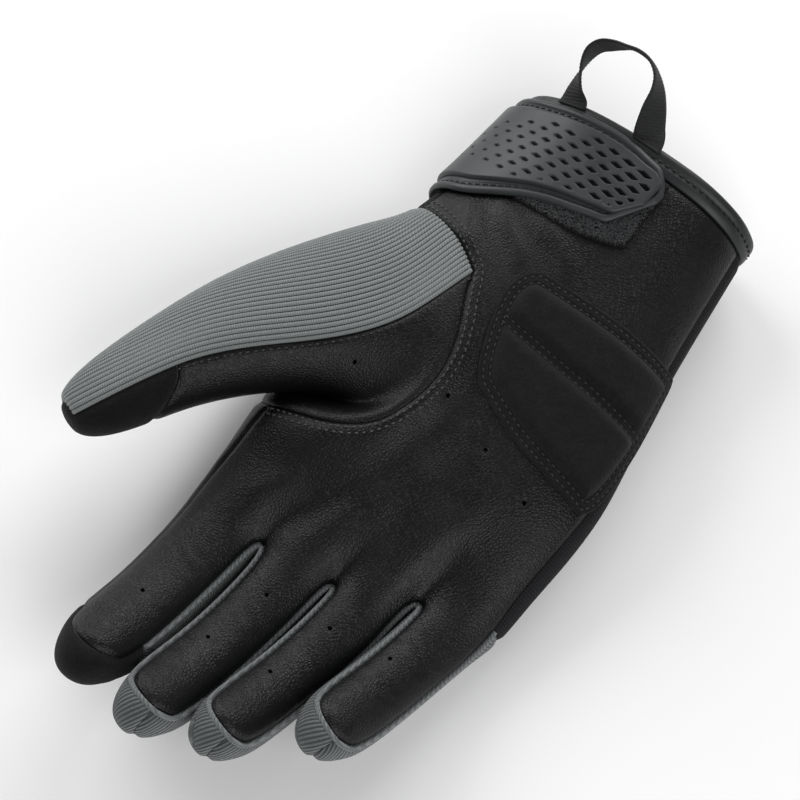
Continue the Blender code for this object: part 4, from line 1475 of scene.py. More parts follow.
@dataclass
class HandPanels:
    """The leather, textile, knit and suede panels of the hand and fingers."""

    skin: Skin
    patterns: Patterns
    leather_wall: float = 1.4 * MM
    cloth_wall: float = 1.6 * MM
    binding_wall: float = 1.6 * MM
    binding_rise: float = 0.5 * MM
    piping_radius: float = 0.80 * MM
    vent_radius: float = 0.70 * MM
    allowance_depth: float = 0.85 * MM
    allowance_radius: float = 0.50 * MM

    def build(self) -> None:
        """Builds and dresses every panel but the thumb's and the cuff binding's."""
        leather = self.patterns.leather
        ribs = RibFinish().material("grey_ribbed_textile")
        for panel in (Panel.PALM, Panel.INDEX_SIDE):
            self.panel(panel, self.leather_wall, leather)
        back = KnitFinish((0.006, 0.006, 0.007), (0.020, 0.021, 0.023), 0.9 * MM, 0.1 * MM)
        self.panel(Panel.BACK, self.leather_wall, back.material("black_woven_textile"))
        self.panel(Panel.GUSSET, self.cloth_wall, KnitFinish().material("black_stretch_knit"))
        self.panel(Panel.INDEX_TIP, self.cloth_wall, SuedeFinish().material("black_suede"))
        for panel in FOURCHETTES:
            piece = self.panel(panel, self.cloth_wall, ribs)
            self.map_weave(piece, panel)
        self.piping()
        self.seam_allowances()
        self.vent_holes()

    def seam_allowances(self) -> None:
        """The sewn-down cloth behind each seam, which closes the gaps between the panels. Its black is partly the
        cloth's own and partly painted shade in the gaps.
        """
        skin = self.skin
        used, numbers = np.unique(skin.border, return_inverse=True)
        mesh = bpy.data.meshes.new("guide")
        places = skin.points[used] - skin.normals[used] * self.allowance_depth
        mesh.from_pydata(places.tolist(), numbers.reshape(-1, 2).tolist(), [])
        guide = bpy.data.objects.new("guide", mesh)
        bpy.context.scene.collection.objects.link(guide)
        dark = self.patterns.dark_thread
        piece = self.patterns.cords.make("seam_allowances", guide, dark, radius=self.allowance_radius)
        settle(piece, "back_panel")

    def panel(self, panel: Panel, wall: float, material: bpy.types.Material) -> bpy.types.Object:
        """Builds one panel and puts it on the frame."""
        piece = self.skin.panel_piece(panel, wall)
        piece.data.materials.append(material)
        return settle(piece, NODE_OF[panel], NODE_OF[panel])

    def map_weave(self, piece: bpy.types.Object, panel: Panel) -> None:
        """Maps a fourchette's textile: U runs along the seam with the palm, V away from it.

        Args:
            piece: the fourchette.
            panel: its panel.
        """
        places, lengths, tangents = [], [], []
        start = 0.0
        for chain in self.skin.seam(panel, (Panel.PALM, Panel.INDEX_TIP)):
            points = self.skin.smooth_points[chain]
            for _ in range(10):
                inner = (points[:-2] + 2 * points[1:-1] + points[2:]) / 4
                points = np.vstack([points[:1], inner, points[-1:]])
            steps = np.linalg.norm(np.diff(points, axis=0), axis=1)
            length = np.concatenate([[0], np.cumsum(steps)]) + start
            start = length[-1] + 5 * MM
            tangent = np.gradient(points, axis=0)
            tangents.append(tangent / np.linalg.norm(tangent, axis=1)[:, None])
            places.append(points)
            lengths.append(length)
        places, lengths, tangents = np.vstack(places), np.concatenate(lengths), np.vstack(tangents)
        tree = KDTree(len(places))
        for i, place in enumerate(places):
            tree.insert(place, i)
        tree.balance()
        mesh = piece.data
        slant = 0.35
        uv = np.empty((len(mesh.vertices), 2))
        for i, vertex in enumerate(mesh.vertices):
            _, found, distance = tree.find(vertex.co)
            along = lengths[found] + (np.array(vertex.co) - places[found]) @ tangents[found]
            uv[i] = (along + slant * distance, distance)
        index = np.empty(len(mesh.loops), np.int64)
        mesh.loops.foreach_get("vertex_index", index)
        layer = mesh.uv_layers.new(name="weave")
        layer.data.foreach_set("uv", uv[index].ravel())

    def piping(self) -> None:
        """The folded, cord-like edge of each fourchette along the palm leather."""
        yarn = CordFinish((0.020, 0.022, 0.023), (0.235, 0.252, 0.256), 1.25 * MM, 0.30 * MM).material("grey_piping")
        for panel in FOURCHETTES:
            paths = []
            for chain in self.skin.seam(panel, (Panel.PALM,)):
                if len(chain) > 12:
                    paths.append(self.skin.beside(chain, panel, 0.75 * MM, 0.05 * MM))
            name = NODE_OF[panel].replace("fourchette", "piping")
            piece = self.patterns.cords.make(name, guide_of(paths), yarn, radius=self.piping_radius)
            settle(piece, NODE_OF[panel])

    def vent_holes(self) -> None:
        """The pinhole vents in the palm leather, each a near-black disc of painted shade for the hole's dark inside.
        """
        spots = []
        for x, y in self.skin.vents:
            place, normal, _, _ = self.skin.tree.ray_cast(Vector((x, y, 0.1)), Vector((0, 0, -1)))
            spots.append((place + normal * 0.12 * MM, normal))
        guide = guide_of([[spot] for spot in spots])
        piece = self.patterns.vents.make("vent_holes", guide, self.patterns.void, radius=self.vent_radius)
        settle(piece, "palm_leather")


@dataclass
class Thumb:
    """The thumb: ribbed back panel, leather front, suede tip and the stitching round its root."""

    skin: Skin
    patterns: Patterns
    leather_wall: float = 1.4 * MM
    cloth_wall: float = 1.6 * MM
    rib_pitch: float = 1.62 * MM
    rib_radius: float = 0.77 * MM
    rib_sink: float = 0.32 * MM
    root_rows: tuple = (1.5 * MM, 3.7 * MM)
    stitch_pitch: float = 2.3 * MM
    stitch_length: float = 1.5 * MM
    stitch_radius: float = 0.34 * MM

    def build(self) -> None:
        """Builds the thumb's panels, ribs and stitches."""
        back = self.skin.panel_piece(Panel.THUMB_BACK, self.cloth_wall)
        # The ground under the ribs is coloured near black: painted shade in the gaps between the ribs.
        back.data.materials.append(CordFinish((0.012, 0.014, 0.015), (0.03, 0.033, 0.034)).material("shaded_rib_ground"))
        settle(back, "thumb_back", "thumb_back")
        front = self.skin.panel_piece(Panel.THUMB_FRONT, self.leather_wall)
        front.data.materials.append(self.patterns.leather)
        settle(front, "thumb_front", "thumb_front")
        tip = self.skin.panel_piece(Panel.THUMB_TIP, self.cloth_wall)
        tip.data.materials.append(SuedeFinish().material("thumb_suede"))
        settle(tip, "thumb_tip", "thumb_tip")
        self.ribs()
        self.stitching()

    def chart_grid(self) -> np.ndarray:
        """The thumb back's points in order round and along it.

        Returns:
            Point numbers, one row for each step along the thumb, -1 where there is none.
        """
        across = len(self.skin.hand.thumb_seam) // 2 * 2**self.skin.levels
        return self.skin.thumb_grid()[:, : across + 1]

    def ribs(self) -> None:
        """Parallel ribs along the thumb's back, a pitch apart from its seam with the leather."""
        grid = self.chart_grid()
        points, normals = self.skin.points, self.skin.normals
        lines: dict[int, Path] = {}
        for row in grid[::2]:
            places = points[row]
            length = np.concatenate([[0], np.cumsum(np.linalg.norm(np.diff(places, axis=0), axis=1))])
            count = int((length[-1] - 0.4 * self.rib_pitch) / self.rib_pitch)
            for k in range(count + 1):
                at = (k + 0.5) * self.rib_pitch
                if at > length[-1] - 0.3 * self.rib_pitch:
                    continue
                place = np.array([np.interp(at, length, places[:, axis]) for axis in range(3)])
                up = np.array([np.interp(at, length, normals[row][:, axis]) for axis in range(3)])
                up /= np.linalg.norm(up)
                edge = min(at, length[-1] - at)
                sink = self.rib_sink - 0.10 * MM * math.exp(-((edge / (1.2 * MM)) ** 2))
                lines.setdefault(k, []).append((Vector(place - up * sink), Vector(up)))
        yarn = CordFinish().material("grey_rib_yarn")
        paths = [line for line in lines.values() if len(line) > 3]
        piece = self.patterns.cords.make("thumb_ribs", guide_of(paths), yarn, radius=self.rib_radius)
        settle(piece, "thumb_back")

    def stitching(self) -> None:
        """Two rows of thread on the palm beside the thumb's root, and one along the thumb's front."""
        root = self.skin.seam(Panel.PALM, (Panel.THUMB_BACK, Panel.THUMB_FRONT))[0]
        paths = [self.skin.beside(root, Panel.PALM, offset, 0.12 * MM) for offset in self.root_rows]
        piece = self.patterns.stitches.make(
            "thumb_root_stitches",
            guide_of(paths),
            self.patterns.thread,
            self.stitch_pitch,
            self.stitch_length,
            self.stitch_radius,
        )
        settle(piece, "palm_leather")
        split = self.skin.seam(Panel.THUMB_FRONT, (Panel.THUMB_BACK,))[0]
        path = self.skin.beside(split, Panel.THUMB_FRONT, 1.3 * MM, 0.02 * MM)
        piece = self.patterns.stitches.make(
            "thumb_front_stitches",
            guide_of([path]),
            self.patterns.dark_thread,
            self.stitch_pitch,
            self.stitch_length,
            self.stitch_radius,
        )
        settle(piece, "thumb_front")


@dataclass
class LaidPiece:
    """A sheet laid over the skin, with relief worked out from its distance from its own edge."""

    skin: Skin
    name: str
    rows: tuple[Row, ...]
    start: float
    length: float
    low: float
    steps: tuple[int, int]
    ease: float = 1.0
    bottom: float = 0.0

    def spot(self, along: float, across: float) -> tuple[float, float]:
        """The turn and the place along Y at two shares of the sheet."""
        at = along * (len(self.rows) - 1)
        i = min(int(at), len(self.rows) - 2)
        share = at - i
        ends = []
        for row in (self.rows[max(i - 1, 0)], self.rows[i], self.rows[i + 1], self.rows[min(i + 2, len(self.rows) - 1)]):
            ends.append((
                row.turn + (row.end_turn - row.turn) * across,
                row.y + (row.end_y - row.y) * across,
            ))
        a, b, c, d = (np.array(end) for end in ends)
        turn, y = 0.5 * (
            2 * b + (c - a) * share + (2 * a - 5 * b + 4 * c - d) * share**2 + (3 * b - a - 3 * c + d) * share**3
        )
        return float(turn), self.skin.hand.along_body(0) + self.start + float(y) * self.length

    def lay(self) -> None:
        """Lays the grid on the skin and measures each point's distance from the edge."""
        count_along, count_across = self.steps
        self.places = np.empty((count_along + 1, count_across + 1, 3))
        self.ups = np.empty_like(self.places)
        for i in range(count_along + 1):
            for j in range(count_across + 1):
                share = 1 - (1 - j / count_across) ** self.ease
                turn, y = self.spot(i / count_along, share)
                place, up = self.skin.over(turn, y)
                self.places[i, j], self.ups[i, j] = place, up
        for _ in range(3):
            self.ups[1:-1, 1:-1] = (
                self.ups[1:-1, 1:-1] * 2
                + self.ups[:-2, 1:-1]
                + self.ups[2:, 1:-1]
                + self.ups[1:-1, :-2]
                + self.ups[1:-1, 2:]
            )
            self.ups /= np.linalg.norm(self.ups, axis=2)[..., None]
        edge = np.concatenate([self.places[:, 0], self.places[-1, 1:], self.places[-2::-1, -1], self.places[0, -2:0:-1]])
        fine = [edge + (np.roll(edge, -1, axis=0) - edge) * share for share in (0, 0.25, 0.5, 0.75)]
        self.outline = np.stack(fine, axis=1).reshape(-1, 3)
        flat = self.places.reshape(-1, 3)
        self.edge = Skin.distance_to(self.outline, flat, 0.03).reshape(count_along + 1, count_across + 1)

    def sheet(self, height: np.ndarray, material: bpy.types.Material) -> bpy.types.Object:
        """The closed sheet.

        Args:
            height: how far each point of its upper face stands off the skin.
            material: its finish.

        Returns:
            The piece.
        """
        top = self.places + self.ups * height[..., None]
        base = self.places + self.ups * self.bottom
        rows, columns = height.shape
        number = np.arange(rows * columns).reshape(rows, columns)
        quads = np.stack([number[:-1, :-1], number[1:, :-1], number[1:, 1:], number[:-1, 1:]], axis=-1).reshape(-1, 4)
        border = np.concatenate([number[:, 0], number[-1, 1:], number[-2::-1, -1], number[0, -2:0:-1]])
        after = np.roll(border, -1)
        total = rows * columns
        sides = np.stack([border, border + total, after + total, after], axis=1)
        points = np.vstack([top.reshape(-1, 3), base.reshape(-1, 3)])
        first = quads[0]
        up = np.cross(points[first[1]] - points[first[0]], points[first[2]] - points[first[0]])
        if up @ self.ups[0, 0] < 0:
            quads, sides = quads[:, ::-1], sides[:, ::-1]
        piece = piece_of(self.name, points, np.vstack([quads, quads[:, ::-1] + total, sides]))
        piece.data.materials.append(material)
        return piece

    def inset(self, offset: float, height: float) -> Path:
        """A line inside the sheet, at a distance from its edge and a height off the skin."""
        middle = self.places.reshape(-1, 3).mean(axis=0)
        path: Path = []
        points = self.outline
        tangent = np.roll(points, -3, axis=0) - np.roll(points, 3, axis=0)
        tree = KDTree(len(points))
        for i, point in enumerate(points):
            tree.insert(point, i)
        tree.balance()
        for point, along in zip(points, tangent):
            _, up = self.skin.drop(Vector(point))
            side = up.cross(Vector(along)).normalized()
            if side.dot(Vector(middle - point)) < 0:
                side = -side
            place = Vector(point) + side * offset
            if tree.find(place)[2] < offset * 0.97:
                continue
            spot, normal, _, _ = self.skin.flat_tree.find_nearest(place)
            path.append((spot + normal * height, normal))
        return path


@dataclass
class WristStrap:
    """The moulded strap: a rimmed base, a raised plate with dents, and stitches in the groove between."""

    skin: Skin
    patterns: Patterns
    start: float = 0.0030
    length: float = 0.0420
    base_low: float = 1.3 * MM
    wall: float = 1.2 * MM
    gap: float = 0.3 * MM
    plate_inset: float = 0.118
    lip: float = 0.35 * MM
    dent_depth: float = 1.05 * MM
    dent_step: float = 5.6 * MM
    dent_rows: float = 3.1 * MM
    rows: tuple[Row, ...] = (
        Row(0, -0.012, 0, 0.995),
        Row(8, -0.012, 8, 1.000),
        Row(16, -0.005, 16, 1.000),
        Row(24, 0.005, 24, 1.000),
        Row(32, 0.012, 33, 0.986),
        Row(42, 0.012, 44, 0.905),
        Row(52, 0.005, 56, 0.821),
        Row(64, 0.000, 68, 0.767),
        Row(78, 0.000, 80, 0.731),
        Row(90, 0.019, 92, 0.695),
        Row(100, 0.048, 101, 0.662),
        Row(108, 0.076, 106, 0.571),
        Row(113.5, 0.155, 112, 0.433),
        Row(117, 0.250, 116.5, 0.321),
    )

    def build(self) -> None:
        """Builds the base, the plate and the stitches."""
        rubber = RubberFinish().material("strap_rubber")
        base = LaidPiece(
            self.skin, "strap_base", self.rows, self.start, self.length, self.base_low, (220, 80),
            bottom=self.base_low,
        )
        base.lay()
        high = self.base_low + self.wall
        edge = base.edge
        rounded = np.sqrt(np.clip(1 - (1 - np.clip(edge / (0.6 * MM), 0, 1)) ** 2, 0, 1))
        height = high - 0.6 * MM * (1 - rounded)
        height += self.lip * np.exp(-(((edge - 1.5 * MM) / (0.8 * MM)) ** 2))
        height -= 0.55 * MM * np.exp(-(((edge - 3.0 * MM) / (0.6 * MM)) ** 2))
        settle(base.sheet(height, rubber), "strap_base", "strap_base")
        self.plate(rubber)
        path = base.inset(3.0 * MM, high - 0.30 * MM)
        piece = self.patterns.stitches.make(
            "strap_stitches", guide_of([path], closed=True), self.patterns.dark_thread, 2.6 * MM, 1.9 * MM, 0.33 * MM
        )
        settle(piece, "strap_base")

    def plate(self, rubber: bpy.types.Material) -> None:
        """The raised plate, with its field of dents."""
        rows = []
        for row in self.rows[:-1]:
            turn = row.turn + (row.end_turn - row.turn) * self.plate_inset
            end_turn = row.end_turn - (row.end_turn - row.turn) * self.plate_inset
            step = (row.end_y - row.y) * self.plate_inset
            rows.append(Row(turn, row.y + step, end_turn, row.end_y - step))
        low = self.base_low + self.wall + self.gap - 0.35 * MM
        plate = LaidPiece(
            self.skin, "strap_plate", tuple(rows), self.start, self.length, low, (320, 96), bottom=low
        )
        plate.lay()
        edge = plate.edge
        slope = np.clip(edge / (0.8 * MM), 0, 1)
        height = low + 0.35 * MM + self.wall * np.sqrt(np.clip(1 - (1 - slope) ** 2, 0, 1))
        middle = plate.places[:, plate.steps[1] // 2]
        run = np.concatenate([[0], np.cumsum(np.linalg.norm(np.diff(middle, axis=0), axis=1))])
        along = np.repeat(run[:, None], plate.steps[1] + 1, axis=1)
        across = plate.places[..., 1] - plate.places[-1, plate.steps[1] // 2, 1]
        sunk = self.dents(along, across, run[-1]) * np.clip((edge - 1.6 * MM) / (0.7 * MM), 0, 1)
        piece = plate.sheet(height - sunk, rubber)
        # Each point's share of the dent depth, from which the rubber paints shade into the dents.
        deep = piece.data.attributes.new("deep", "FLOAT", "POINT")
        deep.data.foreach_set("value", np.tile(sunk.ravel() / self.dent_depth, 2))
        settle(piece, "strap_plate", "strap_plate")

    def dents(self, along: np.ndarray, across: np.ndarray, total: float) -> np.ndarray:
        """How deep the slanted dents are at each point.

        Args:
            along: the distance from the strap's root.
            across: the distance across it.
            total: the strap's whole length.

        Returns:
            Depths.
        """
        depth = np.zeros_like(along)
        for line in range(-5, 8):
            for k in range(24):
                x = total - 3.5 * MM - self.dent_step * (k + 0.5 * (line % 2))
                y = line * self.dent_rows + 0.10 * (x - total)
                grown = (x / total - 0.24) / 0.76
                if grown < (0.10 * (3 - line) if line > -1 else 0.55 if line > -3 else 0.70):
                    continue
                long, short = 0.55 * MM + 1.55 * MM * grown, 0.36 * MM + 0.50 * MM * grown
                dx, dy = along - x, across - y
                u = (dx * 0.97 + dy * 0.24) / long
                v = (dy * 0.97 - dx * 0.24) / short
                inside = np.clip((1 - np.maximum(np.abs(u + 0.50 * v), np.abs(v))) * 3.2, 0, 1)
                depth = np.maximum(depth, inside * self.dent_depth * (0.55 + 0.45 * grown))
        return depth


@dataclass
class LoopPatch:
    """The fuzzy fastening patch under the strap."""

    skin: Skin
    patterns: Patterns
    start: float = 0.0084
    length: float = 0.0310
    low: float = 0.3 * MM
    wall: float = 0.7 * MM
    fibre: float = 0.75 * MM
    rows: tuple[Row, ...] = (
        Row(46, 0.000, 52, 0.981),
        Row(58, 0.000, 62, 0.987),
        Row(70, 0.000, 74, 0.994),
        Row(82, 0.000, 86, 0.984),
        Row(94, 0.000, 98, 0.948),
        Row(106, 0.000, 108, 0.897),
        Row(116, 0.000, 117, 0.819),
    )

    def build(self) -> None:
        """Builds the backing and its pile."""
        ground = FibreFinish((0.004, 0.004, 0.005), (0.012, 0.012, 0.013), 0.9, 0.2).material("loop_backing")
        patch = LaidPiece(
            self.skin, "loop_patch", self.rows, self.start, self.length, self.low, (90, 40), bottom=self.low
        )
        patch.lay()
        rounded = np.clip(patch.edge / (0.5 * MM), 0, 1)
        height = self.low + self.wall * (0.3 + 0.7 * np.sqrt(rounded))
        piece = patch.sheet(height, ground)
        settle(piece, "loop_patch", "loop_patch")
        guide = self.upper_face(patch, height)
        pile = FibreFinish((0.004, 0.004, 0.005), (0.080, 0.083, 0.087), 0.5, 0.5).material("loop_pile")
        fuzz = self.patterns.pile.make("loop_pile", guide, pile, 0.40 * MM, self.fibre, seed=5)
        settle(fuzz, "loop_patch")

    @staticmethod
    def upper_face(patch: LaidPiece, height: np.ndarray) -> bpy.types.Object:
        """The part of the patch's upper face that the strap leaves bare, as a guide for the pile."""
        keep = np.zeros(height.shape, bool)
        keep[:, int(height.shape[1] * 0.55) :] = True
        keep[int(height.shape[0] * 0.80) :] = True
        keep &= patch.edge > 0.6 * MM
        top = patch.places + patch.ups * height[..., None]
        rows, columns = height.shape
        number = np.arange(rows * columns).reshape(rows, columns)
        quads = np.stack([number[:-1, :-1], number[1:, :-1], number[1:, 1:], number[:-1, 1:]], axis=-1)
        inside = keep[:-1, :-1] & keep[1:, 1:]
        quads = quads[inside]
        first = quads[0]
        flat = top.reshape(-1, 3)
        up = np.cross(flat[first[1]] - flat[first[0]], flat[first[2]] - flat[first[0]])
        if up @ patch.ups[0, 0] < 0:
            quads = quads[:, ::-1]
        return piece_of("guide", flat, quads)


@dataclass
class HeelPatch:
    """The suede-covered patch on the heel of the palm: two pads, a stitched line and a stitched border."""

    skin: Skin
    patterns: Patterns
    start: float = 0.0537
    length: float = 0.0545
    low: float = 0.5 * MM
    wall: float = 1.0 * MM
    pad: float = 2.3 * MM
    seam_row: int = 3
    border_rows: tuple = (1.7 * MM, 3.8 * MM)
    rows: tuple[Row, ...] = (
        Row(89, 0.018, 167, 0.000),
        Row(81, 0.084, 169, 0.070),
        Row(77, 0.207, 170, 0.235),
        Row(78.5, 0.345, 170, 0.446),
        Row(83, 0.501, 169.5, 0.629),
        Row(89.5, 0.633, 168.5, 0.804),
        Row(98, 0.725, 167, 0.923),
        Row(110, 0.772, 165, 0.996),
    )

    def build(self) -> None:
        """Builds the padded patch and its stitching."""
        suede = SuedeFinish((0.0040, 0.0041, 0.0043), (0.0110, 0.0111, 0.0115)).material("patch_suede")
        patch = LaidPiece(
            self.skin, "heel_patch", self.rows, self.start, self.length, self.low, (140, 150),
            ease=1.6, bottom=self.low,
        )
        patch.lay()
        seam_index = round(self.seam_row / (len(self.rows) - 1) * patch.steps[0])
        line = patch.places[seam_index]
        flat = patch.places.reshape(-1, 3)
        from_line = Skin.distance_to(line, flat, 0.03).reshape(patch.edge.shape)
        swell_edge = np.clip((patch.edge - 4.3 * MM) / (5.0 * MM), 0, 1)
        swell_line = np.clip((from_line - 1.3 * MM) / (4.5 * MM), 0, 1)
        smooth = 1 - (1 - swell_edge) ** 3
        smooth *= 1 - (1 - swell_line) ** 3
        rounded = np.sqrt(np.clip(1 - (1 - np.clip(patch.edge / (0.7 * MM), 0, 1)) ** 2, 0, 1))
        height = self.low + self.wall * (0.25 + 0.75 * rounded) + self.pad * smooth
        for offset in self.border_rows:
            height -= 0.22 * MM * np.exp(-(((patch.edge - offset) / (0.6 * MM)) ** 2))
        piece = patch.sheet(height, suede)
        settle(piece, "heel_patch", "heel_patch")
        top = self.low + self.wall - 0.1 * MM
        paths = [patch.inset(offset, top) for offset in self.border_rows]
        border = self.patterns.stitches.make(
            "heel_patch_border_stitches", guide_of(paths, closed=True), self.patterns.dark_thread,
            2.3 * MM, 1.4 * MM, 0.27 * MM,
        )
        settle(border, "heel_patch")
        inner = patch.edge[seam_index] > 4.2 * MM
        lines = []
        for side in (-1, 1):
            row = patch.places[seam_index] + np.array([0, side * 1.0 * MM, 0])
            path = []
            for place in row[inner]:
                spot, normal, _, _ = self.skin.flat_tree.find_nearest(Vector(place))
                path.append((spot + normal * (top + 0.08 * MM), normal))
            lines.append(path)
        middle = self.patterns.stitches.make(
            "heel_patch_middle_stitches", guide_of(lines), self.patterns.dark_thread, 2.3 * MM, 1.4 * MM, 0.27 * MM
        )
        settle(middle, "heel_patch")


@dataclass
class CuffBinding:
    """The smooth bound edge of the cuff, with its stitched line."""

    skin: Skin
    patterns: Patterns
    wall: float = 1.6 * MM
    rise: float = 0.5 * MM
    band: float = 3.6 * MM
    bulge: float = 0.35 * MM

    def build(self) -> None:
        """Builds the binding and its stitches."""
        piece = self.skin.panel_piece(Panel.BINDING, self.wall, self.rise)
        mesh = piece.data
        count = len(mesh.vertices)
        points = np.empty(count * 3)
        mesh.vertices.foreach_get("co", points)
        points = points.reshape(-1, 3)
        half = count // 2
        outward = points[:half] - points[half:]
        outward /= np.linalg.norm(outward, axis=1)[:, None]
        from_edge = points[:half, 1] - self.skin.hand.along_body(0)
        profile = self.bulge * np.sin(np.clip(from_edge / self.band, 0, 1) * math.pi)
        profile -= 0.3 * MM * np.exp(-(((from_edge - self.band) / (0.5 * MM)) ** 2))
        profile -= 0.5 * MM * np.exp(-((from_edge / (0.5 * MM)) ** 2))
        points[:half] += outward * profile[:, None]
        points[:, 2] = np.maximum(points[:, 2], 0)
        mesh.vertices.foreach_set("co", points.ravel())
        mesh.update()
        finish = RubberFinish((0.010, 0.011, 0.012), (0.014, 0.015, 0.016), 0.45)
        mesh.materials.append(finish.material("coated_binding"))
        settle(piece, "cuff_binding", "cuff_binding")
        path: Path = []
        y = self.skin.hand.along_body(0) + self.band
        for turn in range(-38, 219, 2):
            place, up = self.skin.over(turn, y)
            path.append((place + up * (self.rise + 0.15 * MM), up))
        stitches = self.patterns.stitches.make(
            "binding_stitches", guide_of([path]), self.patterns.dark_thread, 2.6 * MM, 1.8 * MM, 0.3 * MM
        )
        settle(stitches, "cuff_binding")


@dataclass(frozen=True)
class Bend:
    """A place on the hanging loop, in shares of its span and height, and how far it stands on edge."""

    across: float
    rise: float
    turn: float


@dataclass
class HangLoop:
    """The webbing loop sewn to the cuff."""

    skin: Skin
    patterns: Patterns
    width: float = 10 * MM
    wall: float = 1.1 * MM
    rib: float = 1.05 * MM
    rib_depth: float = 0.20 * MM
    feet: tuple[float, float] = (49, 93)
    foot_reach: float = 2.2 * MM
    height: float = 26.5 * MM
    lean: tuple = (0.45, -0.73, 0.53)
    bends: tuple[Bend, ...] = (
        Bend(0.485, 0.17, 42),
        Bend(0.432, 0.38, 68),
        Bend(0.358, 0.57, 88),
        Bend(0.260, 0.72, 102),
        Bend(0.130, 0.82, 110),
        Bend(-0.030, 0.89, 106),
        Bend(-0.180, 0.93, 98),
        Bend(-0.340, 0.935, 103),
        Bend(-0.465, 0.89, 106),
        Bend(-0.545, 0.78, 102),
        Bend(-0.570, 0.62, 87),
        Bend(-0.545, 0.41, 65),
        Bend(-0.510, 0.15, 42),
    )

    def foot(self, turn: float) -> list[tuple[Vector, Vector]]:
        """Where one foot lies on the binding: places and the webbing's width direction."""
        off = 0.8 * MM + self.wall / 2
        sections = []
        for reach in (self.foot_reach, self.foot_reach / 8):
            y = self.skin.hand.along_body(0) + reach
            spots = [self.skin.over(at, y) for at in (turn - 4, turn, turn + 4)]
            across = (spots[0][0] + spots[0][1] * off) - (spots[2][0] + spots[2][1] * off)
            sections.append((spots[1][0] + spots[1][1] * off, across.normalized()))
        return sections

    def sections(self) -> tuple[np.ndarray, np.ndarray]:
        """Places along the webbing and its width directions, smoothed.

        Returns:
            Two arrays of vectors.
        """
        near, far = (self.foot(turn) for turn in self.feet)
        span = near[-1][0] - far[-1][0]
        middle = (near[-1][0] + far[-1][0]) / 2
        lean = Vector(self.lean).normalized()
        plane = lean.cross(span).normalized()
        places = [middle + span * bend.across + lean * bend.rise * self.height for bend in self.bends]
        path = [place for place, _ in near] + places + [place for place, _ in reversed(far)]
        wides = [wide for _, wide in near]
        for i, bend in enumerate(self.bends):
            along = (path[i + 3] - path[i + 1]).normalized()
            across = along.cross(plane).normalized()
            turn = math.radians(bend.turn)
            wides.append(across * math.cos(turn) + plane * math.sin(turn))
        wides += [-wide for _, wide in reversed(far)]
        for i in range(1, len(wides)):
            if wides[i].dot(wides[i - 1]) < 0:
                wides[i] = -wides[i]
        return self.through(np.array(path)), self.through(np.array(wides))

    @staticmethod
    def through(points: np.ndarray, steps: int = 40) -> np.ndarray:
        """A smooth line through points, with this many steps from each to the next."""
        full = np.vstack([2 * points[0] - points[1], points, 2 * points[-1] - points[-2]])
        made = []
        for i in range(len(points) - 1):
            a, b, c, d = full[i : i + 4]
            for share in np.arange(steps) / steps:
                made.append(
                    0.5
                    * (2 * b + (c - a) * share + (2 * a - 5 * b + 4 * c - d) * share**2
                       + (3 * b - a - 3 * c + d) * share**3)
                )
        return np.array([*made, points[-1]])

    def build(self) -> None:
        """Builds the ribbed webbing."""
        places, wides = self.sections()
        run = np.concatenate([[0], np.cumsum(np.linalg.norm(np.diff(places, axis=0), axis=1))])
        at = np.arange(0, run[-1], self.rib / 6)
        places = np.stack([np.interp(at, run, places[:, k]) for k in range(3)], axis=1)
        wides = np.stack([np.interp(at, run, wides[:, k]) for k in range(3)], axis=1)
        along = np.gradient(places, axis=0)
        along /= np.linalg.norm(along, axis=1)[:, None]
        wides -= along * np.sum(wides * along, axis=1)[:, None]
        wides /= np.linalg.norm(wides, axis=1)[:, None]
        thins = np.cross(along, wides)
        ribbed = self.wall / 2 - self.rib_depth * (1 - np.abs(np.sin(at * math.pi / self.rib)))
        count = 12
        shares = np.linspace(-1, 1, count)
        profile = [(share, 1) for share in shares] + [(share, -1) for share in shares[::-1]]
        points = []
        for place, wide, thin, half in zip(places, wides, thins, ribbed):
            for share, side in profile:
                taper = math.sqrt(max(0.0, 1 - abs(share) ** 14))
                points.append(place + wide * share * self.width / 2 + thin * side * half * (0.35 + 0.65 * taper))
        ring = len(profile)
        faces = []
        for i in range(len(at) - 1):
            for k in range(ring):
                a, b = i * ring + k, i * ring + (k + 1) % ring
                faces.append((a, b, b + ring, a + ring))
        faces.append(tuple(range(ring - 1, -1, -1)))
        faces.append(tuple(range((len(at) - 1) * ring, len(at) * ring)))
        piece = piece_of("hang_loop", [tuple(p) for p in points], faces)
        piece.data.materials.append(
            FibreFinish((0.009, 0.009, 0.010), (0.024, 0.025, 0.026), 0.75, 0.3).material("black_webbing")
        )
        self.face_outwards(piece)
        settle(piece, "hang_loop", "hang_loop")

    @staticmethod
    def face_outwards(piece: bpy.types.Object) -> None:
        """Turns the faces outwards if the loft came out inside out."""
        mesh = piece.data
        mesh.calc_loop_triangles()
        volume = 0.0
        for triangle in mesh.loop_triangles:
            a, b, c = (mesh.vertices[v].co for v in triangle.vertices)
            volume += a.dot(b.cross(c))
        if volume < 0:
            mesh.flip_normals()


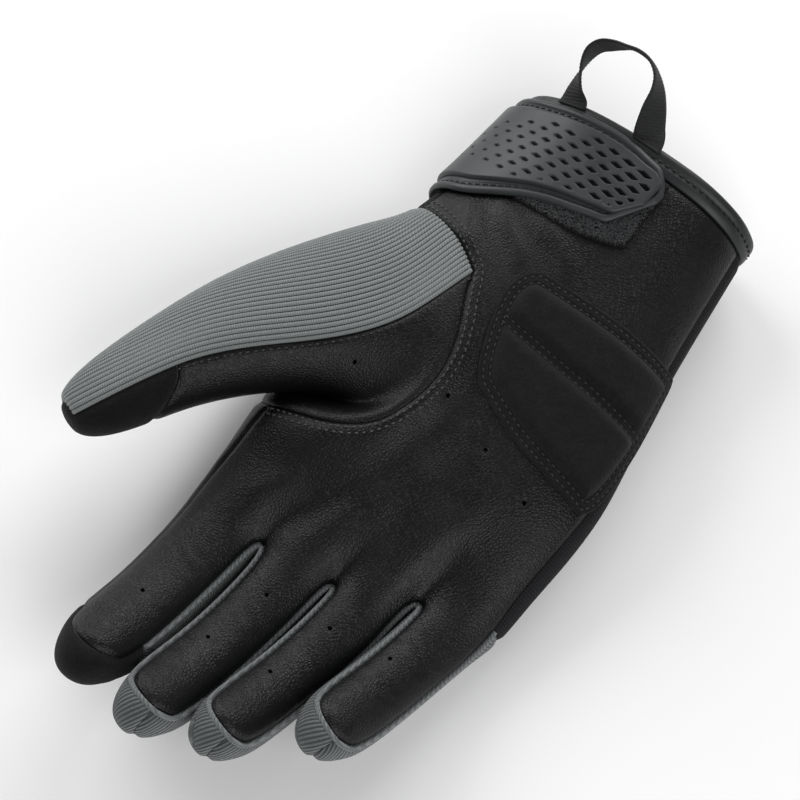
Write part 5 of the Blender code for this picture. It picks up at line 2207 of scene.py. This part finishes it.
@dataclass
class Studio:
    """The pale floor, soft lights and the camera at the photograph's angle."""

    azimuth: float = 215.6
    elevation: float = 68.0
    lens: float = 100.0
    distance: float = 0.6796
    aim: tuple = (0.0, 0.0, 0.02)
    shift: tuple = (-0.05, 0.025)

    def build(self) -> None:
        """Builds the floor, the lights, the sky and the camera."""
        self.floor()
        self.light("key", (0.98, -0.30, 0.62), 0.8, 8.5)
        self.light("back", (0.20, -1.05, 0.62), 0.8, 8.5)
        self.light("fill", (-0.80, 0.50, 0.85), 1.0, 10.0)
        world = bpy.data.worlds.new("studio")
        world.use_nodes = True
        sky = world.node_tree.nodes["Background"]
        sky.inputs["Color"].default_value = (1, 1, 1, 1)
        sky.inputs["Strength"].default_value = 0.18
        bpy.context.scene.world = world
        bpy.context.scene.view_settings.view_transform = "Standard"
        self.camera()

    def floor(self) -> None:
        """A wide pale floor."""
        half = 3.0
        corners = [(-half, -half, 0), (half, -half, 0), (half, half, 0), (-half, half, 0)]
        floor = piece_of("floor", corners, [(0, 1, 2, 3)])
        look = Look("pale_floor")
        floor.data.materials.append(look.close((0.96, 0.96, 0.96), 0.9, Specular_IOR_Level=0.1))

    def light(self, name: str, place: tuple, size: float, power: float) -> None:
        """A soft square light that faces the glove.

        Args:
            name: its name.
            place: where it stands.
            size: its side.
            power: in watts.
        """
        lamp = bpy.data.lights.new(name, "AREA")
        lamp.shape = "SQUARE"
        lamp.size = size
        lamp.energy = power
        made = bpy.data.objects.new(name, lamp)
        made.location = place
        made.rotation_mode = "QUATERNION"
        made.rotation_quaternion = (-Vector(place)).to_track_quat("-Z", "Y")
        bpy.context.scene.collection.objects.link(made)

    def camera(self) -> None:
        """The camera at the photograph's angle."""
        a, e = math.radians(self.azimuth), math.radians(self.elevation)
        back = Vector((math.sin(a) * math.cos(e), -math.cos(a) * math.cos(e), math.sin(e)))
        data = bpy.data.cameras.new("camera")
        data.lens = self.lens
        data.shift_x, data.shift_y = self.shift
        camera = bpy.data.objects.new("camera", data)
        camera.location = Vector(self.aim) + back * self.distance
        camera.rotation_mode = "QUATERNION"
        camera.rotation_quaternion = (-back).to_track_quat("-Z", "Y")
        bpy.context.scene.collection.objects.link(camera)
        bpy.context.scene.camera = camera


def main() -> None:
    """Builds the glove's looks in order, then the studio."""
    logging.basicConfig(level=logging.INFO, format="%(message)s")
    Studio().build()
    skin = Skin(Hand())
    patterns = Patterns()
    parts: list[Callable[[], None]] = [
        HandPanels(skin, patterns).build,
        Thumb(skin, patterns).build,
        CuffBinding(skin, patterns).build,
        LoopPatch(skin, patterns).build,
        WristStrap(skin, patterns).build,
        HeelPatch(skin, patterns).build,
        HangLoop(skin, patterns).build,
    ]
    for build in parts:
        build()


if __name__ == "__main__":
    main()
